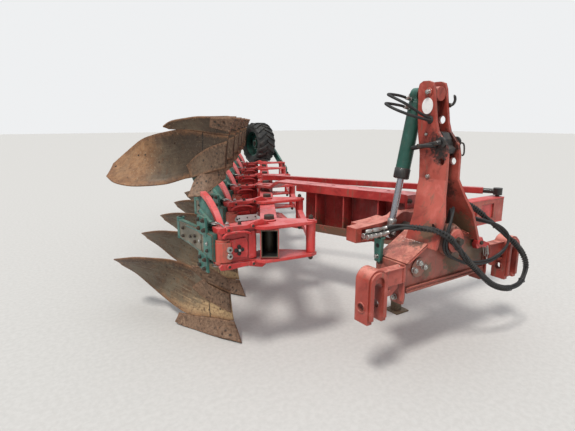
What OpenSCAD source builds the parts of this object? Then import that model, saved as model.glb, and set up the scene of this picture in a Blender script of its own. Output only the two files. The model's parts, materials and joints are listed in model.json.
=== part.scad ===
// Fully mounted reversible mouldboard plough with six pairs of bodies and a
// variable furrow width, standing on its lower bodies and its parking stand.
// Millimetres. +Z up, -Y is the way it travels, X runs across.

/* [Turnover axis] */
// Height of the turnover axis, the mid plane of every mirrored pair
axis_z = 800; // [760:1:860]

/* [Cross beam] */
// Half length of the cross beam
cross_half = 400; // [380:1:420]
// Depth of the cross beam from front to back
cross_depth = 232; // [225:1:234]
// Underside of the cross beam
cross_low = 512; // [500:1:530]
// Top of the cross beam at its ends
cross_end_top = 696; // [680:1:710]
// Top of the cross beam at the middle
cross_top = 895; // [890:1:905]
// Wall of the cross beam
cross_wall = 16; // [10:1:25]

/* [Lower links] */
// Distance from the middle to each lower hitch fork
hitch_half = 693; // [680:1:710]
// Outer width of one hitch fork
fork_w = 150; // [140:1:165]
// Clear gap in the hitch fork
fork_gap = 76; // [66:1:80]
// Height of the hitch pin holes above ground
hitch_z = 500; // [490:1:515]
// Diameter of the hitch pin holes
hitch_hole_d = 51.2; // [51:0.1:52]
// Top of the hitch fork
fork_top = 730; // [715:1:745]
// Lower end of the hitch fork
fork_low = 405; // [390:1:420]
// Depth of the hitch fork from front to back
fork_depth = 108; // [100:1:112]
// Front face of the hitch fork ahead of the cross beam
fork_ahead = 60; // [50:1:65]

/* [Tower] */
// Distance of the free top link hole behind the front face
top_hole_y = 49; // [45:1:53]
// Top of the tower
tower_top = 1820; // [1790:1:1850]
// Thickness of a tower plate
tower_t = 20; // [14:1:24]
// Clear gap between the tower plates
tower_gap = 100; // [96:1:106]
// Height where the tower plates start to splay
splay_z = 1190; // [1170:1:1200]
// Outward splay of the lower part of each plate
splay_deg = 21; // [18:1:23]
// Height of the free top link hole
top_hole_z = 1309; // [1300:1:1320]
// Diameter of the free top link hole
top_hole_d = 45.4; // [45:0.1:46]
// Height of the stored top link pin
top_pin_z = 1411; // [1405:1:1420]
// Drop of the hole for the ram's hoses below the top of the tower
hose_hole_drop = 246; // [240:1:250]

/* [Turnover ram] */
// Drop of the upper pin of the turnover ram below the top of the tower
ram_pin_drop = 81; // [78:1:90]
// Plane of the turnover ram behind the front face
ram_y = 330; // [328:1:331]
// Distance of the crank pin from the turnover axis
crank_r = 207; // [200:1:212]
// Outer radius of the ram barrel
barrel_r = 50; // [44:1:50]
// Length of the ram barrel from its pin to its gland
barrel_l = 575; // [560:1:580]
// Radius of the ram rod
rod_r = 23.5; // [20:0.5:28]
// Radius of the rod eye
eye_r = 40; // [38:1:41]

/* [Turning head] */
// Radius of the turnover shaft in its bearing
shaft_r = 70; // [60:1:75]
// Radius of the shaft where the ram passes over it
shaft_neck_r = 45; // [42:1:46]
// Running clearance of shafts and pins in their holes
run_gap = 0.05; // [0.02:0.01:0.09]
// Front face of the turning head
head_y = 385; // [385:1:388]
// Depth of the turning head from front to back
head_depth = 100; // [90:1:110]
// Height of the cross arm of the turning head
head_h = 208; // [190:1:216]
// Reach of the long side of the turning head
head_reach = 1272; // [1250:1:1280]
// Reach of the crank side of the turning head
crank_reach = 470; // [455:1:475]

/* [Arm] */
// Overall height of the arm
arm_h = 420; // [400:1:430]
// Width of the arm flanges
arm_w = 180; // [160:1:200]
// Thickness of the arm plates
arm_t = 15; // [12:1:20]
// Height of the arm lips
arm_lip = 70; // [50:1:90]
// Distance across from the axis to the front end of the arm
arm_x = 262; // [255:1:270]

/* [Beam] */
// Angle of the beam to the direction of travel
beam_deg = 29.4; // [29:0.1:30]
// Spacing of the bodies along the beam
spacing = 850; // [830:1:870]
// Width of the beam
beam_w = 120; // [110:1:125]
// Height of the beam
beam_h = 190; // [180:1:192]
// Wall of the beam tube
beam_t = 10; // [8:1:14]
// Beam ahead of the first pivot bolt
beam_front = 150; // [130:1:170]
// Beam behind the last pivot bolt
beam_tail = 90; // [80:1:95]
// First pivot bolt across
bolt1_x = -987; // [-1000:1:-970]
// First pivot bolt along
bolt1_y = 671; // [660:1:690]
// Radius of a bracket pivot bolt
bolt_r = 21; // [18:1:24]
// Where the arm meets the beam, in body spacings behind the first bolt
arm_at = 1.7; // [1.68:0.01:1.72]
// Where the strut meets the beam, in body spacings behind the first bolt
strut_at = 2.38; // [2.36:0.01:2.40]

/* [Brackets] */
// Gap between the beam and the bracket plates
bracket_gap = 5; // [5:0.5:8]
// Thickness of the bracket plates
bracket_t = 20; // [16:1:25]
// Reach of the bracket on the body side
bracket_reach = 386; // [370:1:395]
// Length of the bracket arm to the link bar
link_arm = 280; // [270:1:290]
// Radius of a link bar pin
link_pin_r = 15; // [12:1:18]

/* [Bodies] */
// Share tip across from the pivot bolt
tip_x = -159; // [-165:1:-150]
// Share tip behind the pivot bolt
tip_y = 142; // [130:1:155]
// Thickness of a mouldboard
board_t = 10; // [8:1:14]
// Thickness of a leg plate
leg_t = 36; // [30:1:42]
// Inward lean of a leg towards its share
leg_lean = 13.7; // [13:0.1:14.5]
// Length of a leg carrier behind the pivot bolt
carrier_l = 600; // [580:1:605]
// Thickness of a leg carrier
carrier_t = 28; // [24:1:32]
// Half height of a leg carrier at its front end
carrier_front = 88; // [80:1:92]
// Half height of a leg carrier at its rear end
carrier_rear = 70; // [60:1:80]
// Half height of the leaf pack on a leg carrier
pack_half = 90; // [80:1:95]
// End of the leaf pack behind the pivot bolt
pack_end = 300; // [290:1:310]
// Radius of the spring strip
spring_r = 460; // [450:1:470]
// End of the spring strip behind the pivot bolt
spring_end = 330; // [320:1:340]

/* [Depth wheel] */
// Outer radius of the tyre
tyre_r = 345; // [330:1:350]
// Width of the tyre
tyre_w = 310; // [290:1:320]
// Radius of the rim
rim_r = 205; // [195:1:215]
// Tyre centre across
wheel_x = 1210; // [1200:1:1215]
// Length of the wheel arm
wheel_arm_l = 641; // [630:1:650]
// Angle of the wheel arm above level
wheel_arm_deg = 38.6; // [37:0.1:40]

/* [Parking stand] */
// Stand leg across
stand_x = 212; // [209:1:216]
// Stand leg behind the front face
stand_y = 610; // [605:1:620]
// Width of the square stand leg
stand_w = 62; // [56:1:66]
// Width of the stand foot
stand_foot = 140; // [120:1:160]
// Lift of the stand leg
stand_lift = 300; // [280:1:310]

/* [Hidden] */
$fn = 48;
eps = 0.01;
// The part's origin lies on the ground under the middle of its bounding box
origin_x = -162.4;
origin_y = 2804.3;

stations = [0, 1, 2, 3, 4, 5];

red = "#b5302b";
red_faded = "#c65a50";
teal = "#0f5f55";
rust = "#6b4a35";
steel = "#9a9a96";
black = "#1c1c1c";

// Beam line: direction and the places on it
beam_dir = [sin(beam_deg), cos(beam_deg)];
function on_beam(s) = [bolt1_x + beam_dir[0] * s, bolt1_y + beam_dir[1] * s];
function bolt_at(k) = on_beam(spacing * k);
arm_end = on_beam(spacing * arm_at);
strut_end = on_beam(spacing * strut_at);
beam_top = axis_z + beam_h / 2;

// Bracket arm: at right angles to the beam in the rest position
link_dx = link_arm * cos(beam_deg);
link_dy = -link_arm * sin(beam_deg);

// Strut: from the long side of the turning head to the beam
strut_front = [head_reach - 32, head_y + 45];
strut_run = strut_end - strut_front;
strut_l = norm(strut_run);
strut_deg = atan2(-strut_run[0], strut_run[1]);
strut_z = axis_z + head_h / 2 + 50;
strut_black = 120;

// Ram: rest direction from the top pin to the crank pin
ram_top_z = tower_top - ram_pin_drop;
hose_hole_z = tower_top - hose_hole_drop;
hose_hole_y = 160;
hose_hole_r = 26;
ram_drop = ram_top_z - axis_z - 5;
ram_l = norm([crank_r, ram_drop]);
ram_deg = atan2(crank_r, ram_drop);

wheel_pivot = bolt_at(5) + [link_dx, link_dy];
wheel_c = [wheel_x, wheel_pivot[1] + wheel_arm_l * cos(wheel_arm_deg),
           axis_z + wheel_arm_l * sin(wheel_arm_deg)];

module at_origin() {
    translate([-origin_x, -origin_y, 0]) children();
}

// Children below the axis and their mirror image above it
module both_ways() {
    children();
    translate([0, 0, 2 * axis_z]) mirror([0, 0, 1]) children();
}

module both_sides() {
    children();
    mirror([1, 0, 0]) children();
}

module along_x(r, x0, x1) {
    translate([x0, 0, 0]) rotate([0, 90, 0]) cylinder(r = r, h = x1 - x0);
}

module along_y(r, y0, y1) {
    translate([0, y0, 0]) rotate([-90, 0, 0]) cylinder(r = r, h = y1 - y0);
}

// A profile drawn in Y and Z, extruded from x0 to x1
module yz_plate(x0, x1) {
    translate([x0, 0, 0]) rotate([90, 0, 90]) linear_extrude(x1 - x0) children();
}

// A profile drawn in X and Z, extruded from y0 to y1
module xz_plate(y0, y1) {
    translate([0, y1, 0]) rotate([90, 0, 0]) linear_extrude(y1 - y0) children();
}

module hex(r, h) {
    cylinder(r = r, h = h, $fn = 6);
}

// Curved plates
// A grid of points becomes a closed plate of even thickness.
function lerp(a, b, t) = a + (b - a) * t;
function unit(v) = v / norm(v);
function spline(p, t) =
    let (n = len(p) - 1, i = min(floor(t * n), n - 1), u = t * n - i,
         a = p[max(i - 1, 0)], b = p[i], c = p[i + 1], d = p[min(i + 2, n)])
    0.5 * (2 * b + (c - a) * u + (2 * a - 5 * b + 4 * c - d) * u * u
           + (3 * b - a - 3 * c + d) * u * u * u);
function grid_normal(g, i, j) =
    let (n = len(g) - 1, m = len(g[0]) - 1,
         du = g[min(i + 1, n)][j] - g[max(i - 1, 0)][j],
         dv = g[i][min(j + 1, m)] - g[i][max(j - 1, 0)])
    unit(cross(du, dv));

module plate_from_grid(g, t) {
    n = len(g);
    m = len(g[0]);
    front = [for (i = [0:n - 1]) for (j = [0:m - 1]) g[i][j]];
    back = [for (i = [0:n - 1]) for (j = [0:m - 1]) g[i][j] - t * grid_normal(g, i, j)];
    q = n * m;
    function f(i, j) = i * m + j;
    faces = concat(
        [for (i = [0:n - 2]) for (j = [0:m - 2]) each [
            [f(i, j), f(i + 1, j + 1), f(i + 1, j)], [f(i, j), f(i, j + 1), f(i + 1, j + 1)]]],
        [for (i = [0:n - 2]) for (j = [0:m - 2]) each [
            [q + f(i, j), q + f(i + 1, j), q + f(i + 1, j + 1)],
            [q + f(i, j), q + f(i + 1, j + 1), q + f(i, j + 1)]]],
        [for (i = [0:n - 2]) each [
            [f(i, 0), q + f(i + 1, 0), q + f(i, 0)], [f(i, 0), f(i + 1, 0), q + f(i + 1, 0)],
            [f(i, m - 1), q + f(i, m - 1), q + f(i + 1, m - 1)],
            [f(i, m - 1), q + f(i + 1, m - 1), f(i + 1, m - 1)]]],
        [for (j = [0:m - 2]) each [
            [f(0, j), q + f(0, j), q + f(0, j + 1)], [f(0, j), q + f(0, j + 1), f(0, j + 1)],
            [f(n - 1, j), q + f(n - 1, j + 1), q + f(n - 1, j)],
            [f(n - 1, j), f(n - 1, j + 1), q + f(n - 1, j + 1)]]]);
    polyhedron(points = concat(front, back), faces = faces, convexity = 6);
}

// Mouldboard: sections from the shin to the wing.
// Columns: lower edge point, upper edge point, hollow of the section between them
BOARD = [
    [[0, 118, 132], [0, 158, 350], -12],
    [[-70, 262, 118], [-75, 262, 385], 22],
    [[-150, 400, 100], [-120, 400, 425], 40],
    [[-215, 500, 98], [-155, 560, 455], 52],
    [[-262, 660, 116], [-262, 655, 496], 58],
    [[-300, 850, 140], [-385, 735, 510], 56],
    [[-345, 1020, 182], [-500, 825, 512], 48],
    [[-430, 1135, 275], [-590, 925, 490], 28],
    [[-540, 1150, 370], [-618, 1050, 455], 8]];

function board_point(u, v) =
    let (low = spline([for (s = BOARD) s[0]], u), high = spline([for (s = BOARD) s[1]], u),
         hollow = spline([for (s = BOARD) s[2]], u))
    lerp(low, high, v) + hollow * 4 * v * (1 - v) * [0.75, 0.62, -0.1];

module mouldboard(t = board_t) {
    plate_from_grid([for (i = [0:14]) [for (j = [5:-1:0]) board_point(i / 14, j / 5)]], t);
}

// Trash board over the front of the mouldboard: lower and upper edge points
TRASH = [
    [[5, 162, 340], [6, 190, 428]],
    [[-73, 260, 375], [-73, 236, 495]],
    [[-116, 332, 396], [-152, 238, 538]],
    [[-160, 355, 440], [-237, 296, 547]]];

module trash_board() {
    plate_from_grid([for (i = [0:6]) [for (j = [2:-1:0])
        lerp(spline([for (s = TRASH) s[0]], i / 6), spline([for (s = TRASH) s[1]], i / 6), j / 2)
        ]], 8);
}

// Share blade and its point, from the cutting edge up to the mouldboard
module share_blade() {
    plate_from_grid([
        [[-62, 232, 104], [-93, 156, 9.5]],
        [[-152, 400, 92], [-197, 373, 9]],
        [[-215, 494, 90], [-262, 500, 11]],
        [[-262, 560, 84], [-300, 560, 26]]], 12);
}

module share_point() {
    plate_from_grid([
        [[8, 14, 30], [2, 0, 10]],
        [[6, 66, 80], [-45, 80, 10]],
        [[-66, 240, 104], [-97, 163, 10]]], 14);
}

// Steelwork behind one body: landside, frog and the stays to the wing
module landside() {
    yz_plate(-10, 3)
        polygon([[60, 4], [120, 0], [640, 0], [655, 20], [640, 130], [210, 130], [150, 92], [66, 60]]);
}

module frog() {
    yz_plate(-66, -10 + eps)
        polygon([[300, 14], [520, 14], [520, 198.5], [400, 198.5], [330, 150]]);
}

module rod(p, q, r) {
    run = q - p;
    l = norm(run);
    translate(p) rotate([0, acos(run[2] / l), atan2(run[1], run[0])]) cylinder(r = r, h = l, $fn = 16);
}

// A pad that lies on the back of the mouldboard and a stay from it to the leg.
// Columns: place along the board, place up the board, end of the stay on the leg
STAYS = [
    [0.20, 0.62, [-95, 440, 330]],
    [0.42, 0.55, [-80, 470, 300]],
    [0.68, 0.50, [-70, 490, 260]]];

function board_normal(u, v) =
    unit(cross(board_point(u + 0.01, v) - board_point(u - 0.01, v),
               board_point(u, v + 0.01) - board_point(u, v - 0.01)));

module board_stays() {
    difference() {
        for (s = STAYS) {
            seat = board_point(s[0], s[1]) + 5 * board_normal(s[0], s[1]);
            back = seat + 20 * board_normal(s[0], s[1]);
            rod(seat, back, 24);
            rod(back, s[2], 11);
        }
        mouldboard(board_t + 0.3);
    }
}

// Leg: a plate in the travel plane that leans in towards its share
module leg_plate() {
    translate([-154, 0, 650]) rotate([0, -leg_lean, 0]) translate([0, 0, -650])
        yz_plate(-leg_t / 2, leg_t / 2)
            polygon([[-20, 770], [200, 770], [235, 640], [390, 500], [520, 430], [520, 210],
                     [470, 190], [432, 190], [432, 400], [345, 490], [150, 600], [-10, 650]]);
}

module leg() {
    translate([tip_x, tip_y, 0]) {
        difference() {
            leg_plate();
            mouldboard(board_t + 0.3);
        }
        board_stays();
    }
}

// One curved spring strip that runs back and up from the bracket housing
module spring_strip() {
    translate([-345, 0, axis_z])
        yz_plate(0, 40)
            difference() {
                intersection() {
                    translate([spring_r - 40, -150]) circle(r = spring_r);
                    polygon([[20, 60], [20, spring_end + 70], [spring_end, spring_end + 70], [spring_end, 60]]);
                }
                translate([spring_r - 30, -165]) circle(r = spring_r - 10);
            }
}

// Carrier of the two legs: an upright lever with a curled rear eye
module leg_carrier() {
    translate([-bracket_reach - 28.3, 0, 0]) {
        yz_plate(0, carrier_t)
            polygon([[-30, axis_z - carrier_front], [carrier_l, axis_z - carrier_rear],
                     [carrier_l, axis_z + carrier_rear], [-30, axis_z + carrier_front]]);
        yz_plate(carrier_t - eps, 55)
            polygon([[110, axis_z - pack_half], [pack_end, axis_z - pack_half],
                     [pack_end, axis_z + pack_half], [110, axis_z + pack_half]]);
        translate([carrier_t, 140, axis_z - pack_half - 10]) cube([90, 130, 2 * pack_half + 20]);
        translate([carrier_t - 4, carrier_l + 18, axis_z - carrier_rear]) difference() {
            cylinder(r = 28, h = 2 * carrier_rear);
            translate([0, 0, -1]) cylinder(r = 16, h = 2 * carrier_rear + 2);
        }
    }
}

module legs() {
    color(teal) {
        leg_carrier();
        both_ways() leg();
    }
}

module boards() {
    color(rust) both_ways() translate([tip_x, tip_y, 0]) {
        mouldboard();
        trash_board();
    }
}

module shares() {
    color(rust) both_ways() translate([tip_x, tip_y, 0]) {
        share_blade();
        share_point();
        landside();
        frog();
    }
}

// Bracket that carries one pair of bodies, hung on its pivot bolt
bracket_low = beam_top + bracket_gap;
bracket_high = bracket_low + bracket_t;
beam_low_gap = 2 * axis_z - bracket_low + 0.3;
module bracket_outline() {
    polygon([[-bracket_reach, -82], [-200, -66], [-165, -72], [-118, -140], [-60, -150],
             [link_dx - 20, link_dy - 45], [link_dx + 32, link_dy - 25], [link_dx + 30, link_dy + 25],
             [90, 30], [40, 72], [-30, 78], [-90, 60], [-200, 62], [-bracket_reach, 50]]);
}

module housing_outline() {
    polygon([[-bracket_reach + 20, -62], [-150, -62], [-66, 60], [-bracket_reach + 20, 60],
             [-bracket_reach, 40], [-bracket_reach, -42]]);
}

module bracket(k) {
    half = bracket_low - axis_z;
    color(red) {
        both_ways() translate([0, 0, bracket_low]) linear_extrude(bracket_t) bracket_outline();
        if (k == 5) wheel_block();
        translate([0, 0, axis_z - half]) linear_extrude(2 * half) housing_outline();
        both_ways() translate([0, 0, bracket_low - bracket_gap + 0.3])
            difference() {
                cylinder(r = 52, h = bracket_gap - 0.3);
                translate([0, 0, -1]) cylinder(r = bolt_r, h = bracket_gap + 2);
            }
        spring_strip();
    }
    color(steel) {
        translate([0, 0, axis_z - half - bracket_t]) cylinder(r = bolt_r, h = 2 * (half + bracket_t));
        translate([link_dx, link_dy, axis_z - half - 1]) cylinder(r = link_pin_r, h = 2 * half + 2);
        both_ways() translate([0, 0, bracket_high]) {
            cylinder(r = 44, h = 8);
            translate([0, 0, 8]) hex(36, 26);
        }
    }
}

// Block at the end of the last bracket for the pivot of the wheel arm
module wheel_block() {
    reach = bracket_high - axis_z;
    both_ways() translate([link_dx - 40, link_dy - 45, bracket_low]) cube([92, 90, bracket_t]);
    translate([link_dx + 42, link_dy - 45, axis_z - reach]) cube([10, 90, 2 * reach]);
    translate([0, link_dy, axis_z]) along_x(25, link_dx + 50, link_dx + 96);
    translate([0, link_dy, axis_z]) along_x(42, link_dx + 51, link_dx + 57.7);
}

module at_station(k) {
    at_origin() translate([bolt_at(k)[0], bolt_at(k)[1], 0]) children();
}

// Link bar: keeps all brackets parallel
module link_bar() {
    color(red_faded) at_origin() translate([bolt1_x + link_dx, bolt1_y + link_dy, 0])
        rotate([0, 0, -beam_deg]) {
            difference() {
                union() {
                    translate([-22, 0, axis_z - 22]) cube([44, spacing * 5, 44]);
                    for (k = stations) translate([0, spacing * k, beam_low_gap])
                        cylinder(r = 32, h = 2 * (axis_z - beam_low_gap));
                }
                for (k = stations) translate([0, spacing * k, axis_z - 100]) cylinder(r = link_pin_r + run_gap, h = 200);
            }
        }
}

// Beam: rectangular tube with a sleeve round every pivot bolt
module beam() {
    full = beam_front + spacing * 5 + beam_tail;
    color(red_faded) at_origin() translate([bolt1_x, bolt1_y, 0]) rotate([0, 0, -beam_deg]) {
        difference() {
            union() {
                difference() {
                    translate([-beam_w / 2, -beam_front, axis_z - beam_h / 2]) cube([beam_w, full, beam_h]);
                    translate([-beam_w / 2 + beam_t, -beam_front - 1, axis_z - beam_h / 2 + beam_t])
                        cube([beam_w - 2 * beam_t, full + 2, beam_h - 2 * beam_t]);
                }
                for (k = stations) translate([0, spacing * k, axis_z - beam_h / 2 + 1])
                    cylinder(r = 34, h = beam_h - 2);
                translate([0, spacing * arm_at, axis_z - beam_h / 2 + 1]) cylinder(r = 48, h = beam_h - 2);
            }
            for (k = stations) translate([0, spacing * k, axis_z - 200])
                cylinder(r = bolt_r + run_gap, h = 400);
            translate([0, spacing * arm_at, axis_z - 200]) cylinder(r = arm_pin_r + run_gap, h = 400);
        }
        strut_lug();
    }
}

arm_pin_r = 35;
strut_pin_r = 18;

// Collar with a bolted flange where the strut meets the beam
module strut_lug() {
    translate([0, spacing * strut_at, 0]) {
        difference() {
            translate([-beam_w / 2 - 22, -16, axis_z - beam_h / 2 - 22]) cube([beam_w + 44, 32, beam_h + 44]);
            translate([-beam_w / 2 + 1, -20, axis_z - beam_h / 2 + 1]) cube([beam_w - 2, 40, beam_h - 2]);
        }
        translate([0, 0, beam_top - 1]) cylinder(r = 40, h = strut_z - 27 - 0.3 - beam_top + 1);
    }
}

// Arm: C section open towards the bodies, forked over and under the beam
module arm_section() {
    h = arm_h / 2;
    w = arm_w / 2;
    polygon([[-w, h], [w, h], [w, -h], [-w, -h], [-w, -h + arm_lip], [-w + arm_t, -h + arm_lip],
             [-w + arm_t, -h + arm_t], [w - arm_t, -h + arm_t], [w - arm_t, h - arm_t],
             [-w + arm_t, h - arm_t], [-w + arm_t, h - arm_lip], [-w, h - arm_lip]]);
}

arm_foot = [arm_x, head_y + head_depth];
arm_run = arm_end - arm_foot;
arm_l = norm(arm_run);
arm_deg = atan2(-arm_run[0], arm_run[1]);
arm_web_end = arm_l - 430;

module arm() {
    fork = bracket_high + 14 - axis_z;
    color(red) at_origin() difference() {
        arm_whole(fork);
        square_post(socket_w + 0.6, axis_z - arm_h / 2 - 10, axis_z - arm_h / 2 + arm_t + 10);
    }
}

module arm_whole(fork) {
    union() {
        translate([arm_foot[0], arm_foot[1], axis_z]) rotate([0, 0, arm_deg]) {
            difference() {
                xz_plate(70, arm_web_end) arm_section();
                for (y = [260, 520, 780]) translate([20, y, 0]) cylinder(r = 16, h = arm_h);
            }
            both_halves() translate([0, 0, arm_h / 2 - arm_t])
                linear_extrude(arm_t) polygon([[-arm_w / 2, arm_web_end - eps], [arm_w / 2, arm_web_end - eps],
                    [arm_w / 2, arm_l - 190], [-arm_w / 2, arm_l - 190]]);
            both_halves() xz_step(fork);
            for (y = [300, 620, 900]) translate([-arm_w / 2 + arm_t, y, -arm_h / 2 + arm_t - 1])
                cube([arm_w - 2 * arm_t + 1, 12, arm_h - 2 * arm_t + 2]);
            translate([0, arm_l, -fork - 30]) cylinder(r = arm_pin_r, h = 2 * fork + 60);
            both_halves() translate([0, arm_l, beam_h / 2 + 0.3]) cylinder(r = 45, h = fork - beam_h / 2);
        }
        arm_front();
    }
}

module both_halves() {
    children();
    mirror([0, 0, 1]) children();
}

// Each flange steps in to the fork plate that lies over the beam
module xz_step(fork) {
    y0 = arm_l - 190;
    rotate([90, 0, 90]) translate([0, 0, -arm_w / 2]) linear_extrude(arm_w)
        polygon([[y0 - 40, arm_h / 2 - arm_t], [y0 - 40, arm_h / 2], [y0, arm_h / 2], [y0 + 70, fork + 22],
                 [arm_l, fork + 22], [arm_l, fork], [y0 + 64, fork]]);
    translate([0, arm_l, fork]) cylinder(r = arm_w / 2, h = 22);
}

// Front foot of the arm, bolted to the turning head
module arm_front() {
    y = arm_foot[1];
    translate([arm_x - 130, y, axis_z - arm_h / 2]) cube([260, 20, arm_h]);
    translate([arm_foot[0], y, axis_z]) rotate([0, 0, arm_deg]) difference() {
        xz_plate(-60, 75) arm_section();
        rotate([0, 0, -arm_deg]) translate([-400, -200 + 10, -400]) cube([800, 200, 800]);
    }
}

// Turnover shaft with its front cap
module turnover_shaft() {
    color(steel) at_origin() translate([0, 0, axis_z]) {
        along_y(55, -14, -6);
        along_y(shaft_r, -6, cross_depth + 6);
        along_y(shaft_neck_r, cross_depth + 5, head_y + 20);
    }
}

// Turning head: hub, long side for the strut, short side with the crank lug
module turning_head() {
    h = head_h / 2;
    color(red) at_origin() translate([0, 0, axis_z]) {
        difference() {
            union() {
                along_y(118, head_y, head_y + head_depth);
                xz_plate(head_y, head_y + head_depth) difference() {
                    polygon([[0, -h], [0, h], [head_reach, h], [head_reach, -h]]);
                    for (x = [560, 800, 1040]) translate([x, 0]) square([180, head_h - 80], center = true);
                }
                crank_side();
            }
            along_y(shaft_neck_r + run_gap, head_y - 1, head_y + 20 + 0.3);
            translate([strut_front[0], strut_front[1], 0]) cylinder(r = strut_pin_r + run_gap, h = head_h);
        }
    }
}

module crank_side() {
    difference() {
        xz_plate(head_y, head_y + head_depth)
            polygon([[0, -100], [0, 100], [-230, 64], [-crank_reach, 50], [-crank_reach, -50], [-230, -64]]);
        translate([-crank_reach + 50, head_y - 1, -38]) cube([150, head_depth - 20, 76]);
    }
}

// Turnover ram
module ram_barrel() {
    color(teal) at_origin() translate([0, ram_y, ram_top_z]) rotate([0, 180 + ram_deg, 0]) {
        difference() {
            union() {
                translate([0, 0, 40]) cylinder(r = barrel_r, h = barrel_l - 40 - 30);
                translate([0, 0, barrel_l - 31]) cylinder(r = barrel_r - 7, h = 31);
                along_y(48, -30, 30);
                translate([-40, -30, 0]) cube([80, 60, 60]);
                for (z = [45, 105]) translate([0, 0, z]) along_x(13, barrel_r - 6, barrel_r + 14);
            }
            along_y(22 + run_gap, -60, 60);
            translate([0, 0, 110]) cylinder(r = rod_r + run_gap, h = barrel_l);
        }
    }
}

module ram_rod() {
    color(steel) at_origin() translate([0, ram_y, ram_top_z]) rotate([0, 180 + ram_deg, 0]) {
        translate([0, 0, ram_l - 565]) cylinder(r = rod_r, h = 565 - eye_r + 6);
        translate([0, 0, ram_l]) {
            along_y(eye_r, -26, 26);
            along_y(20, -38, head_y - ram_y - 5);
        }
    }
}

// Strut that sets the beam angle
module strut_fork() {
    color(black) at_origin() translate([strut_front[0], strut_front[1], strut_z]) rotate([0, 0, strut_deg]) {
        translate([0, 0, -30]) cylinder(r = 38, h = 60);
        along_y(22, 0, 520);
        translate([0, 0, -50 - 60]) cylinder(r = strut_pin_r, h = 130);
    }
}

module strut_tube() {
    color(red_faded) at_origin() translate([strut_front[0], strut_front[1], strut_z]) rotate([0, 0, strut_deg]) {
        difference() {
            translate([-27, strut_black, -27]) cube([54, strut_l - strut_black, 54]);
            along_y(22 + run_gap, strut_black - 1, 620);
        }
        translate([0, strut_l, -27]) cylinder(r = 40, h = 54);
    }
}

// Parking stand
socket_w = stand_w + 20;
module square_post(w, z0, z1) {
    translate([stand_x - w / 2, stand_y - w / 2, z0]) cube([w, w, z1 - z0]);
}

module stand_socket() {
    color(red) at_origin() difference() {
        square_post(socket_w, axis_z - 280, axis_z - 60);
        square_post(stand_w + 2 * run_gap, axis_z - 300, axis_z);
    }
}

module stand_leg() {
    color(red) at_origin() {
        translate([stand_x - stand_foot / 2 + 10, stand_y - stand_foot / 2, 0]) cube([stand_foot, stand_foot, 12]);
        square_post(stand_w, 11, axis_z + arm_h / 2 - arm_t - stand_lift - 7);
    }
}

// Depth wheel
module wheel_arm() {
    color(teal) at_origin() {
        translate([0, wheel_pivot[1], axis_z]) rotate([wheel_arm_deg, 0, 0]) {
            yz_plate(wheel_pivot[0] + 58, wheel_pivot[0] + 88) difference() {
                union() {
                    circle(r = 62);
                    translate([0, -48]) square([wheel_arm_l, 96]);
                    translate([wheel_arm_l, 0]) circle(r = 55);
                }
                circle(r = 25 + run_gap);
            }
        }
        translate([0, wheel_c[1], wheel_c[2]]) along_x(25, wheel_x - 68, wheel_pivot[0] + 60);
    }
}

module wheel_rim() {
    color(teal) at_origin() translate([wheel_x, wheel_c[1], wheel_c[2]]) rotate([0, 90, 0])
        rotate_extrude($fn = 64) polygon([[25 + run_gap, -70], [60, -70], [60, -20], [rim_r - 12, -20],
            [rim_r - 12, -tyre_w / 2 + 40], [rim_r, -tyre_w / 2 + 40], [rim_r, tyre_w / 2 - 40],
            [rim_r - 12, tyre_w / 2 - 40], [rim_r - 12, -8], [60, -8], [60, 70], [25 + run_gap, 70]]);
}

module wheel_tyre() {
    color(black) at_origin() translate([wheel_x, wheel_c[1], wheel_c[2]]) rotate([0, 90, 0])
        rotate_extrude($fn = 64) polygon([[rim_r + 0.3, -tyre_w / 2 + 30], [rim_r + 40, -tyre_w / 2],
            [tyre_r - 40, -tyre_w / 2], [tyre_r - 8, -tyre_w / 2 + 35], [tyre_r, 0],
            [tyre_r - 8, tyre_w / 2 - 35], [tyre_r - 40, tyre_w / 2], [rim_r + 40, tyre_w / 2],
            [rim_r + 0.3, tyre_w / 2 - 30]]);
}

// Headstock
module cross_outline(inset) {
    e = cross_half - inset;
    polygon(concat(
        [[-e, cross_low + inset], [e, cross_low + inset], [e, cross_end_top - inset], [160, 800 - inset]],
        [for (a = [75:-15:-75]) [125 * sin(a) / sin(75), cross_top - inset - 60 * (1 - cos(a)) / (1 - cos(75))]],
        [[-160, 800 - inset], [-e, cross_end_top - inset]]));
}

module cross_beam() {
    color(red) at_origin() difference() {
        union() {
            difference() {
                xz_plate(0, cross_depth) cross_outline(0);
                xz_plate(cross_wall, cross_depth - cross_wall) cross_outline(cross_wall);
            }
            translate([0, 0, axis_z]) along_y(shaft_r + 18, 1, cross_depth - 1);
            both_sides() {
                translate([cross_half - eps, 0, 0]) yz_plate(0, 22)
                    polygon([[-8, cross_end_top - 12], [4, cross_end_top], [cross_depth, cross_end_top],
                             [cross_depth, 570], [150, cross_low], [100, 480], [90, 432], [0, 432], [-8, 470]]);
            }
            translate([-cross_half, -14, cross_low]) cube([2 * cross_half, 14 + eps, 26]);
        }
        translate([0, 0, axis_z]) along_y(shaft_r + run_gap, -30, cross_depth + 30);
    }
}

// Hitch forks: upside down U blocks on the ends of the cross beam
module hitch_forks() {
    color(red) at_origin() both_sides() translate([hitch_half, 0, 0]) {
        difference() {
            xz_plate(-fork_ahead, fork_depth - fork_ahead) difference() {
                fork_shape(fork_w / 2, fork_low, fork_top);
                fork_shape(fork_gap / 2, fork_low - 50, fork_top - 80);
            }
            translate([0, fork_depth / 2 - fork_ahead, hitch_z]) along_x(hitch_hole_d / 2, -100, 100);
        }
        translate([-(hitch_half - cross_half - 22), -25, 590])
            cube([hitch_half - cross_half - 22 - fork_w / 2 + 2, 70, 100]);
    }
}

module fork_shape(r, low, high) {
    translate([0, high - r]) circle(r = r);
    translate([-r, low]) square([2 * r, high - r - low]);
}

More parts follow.
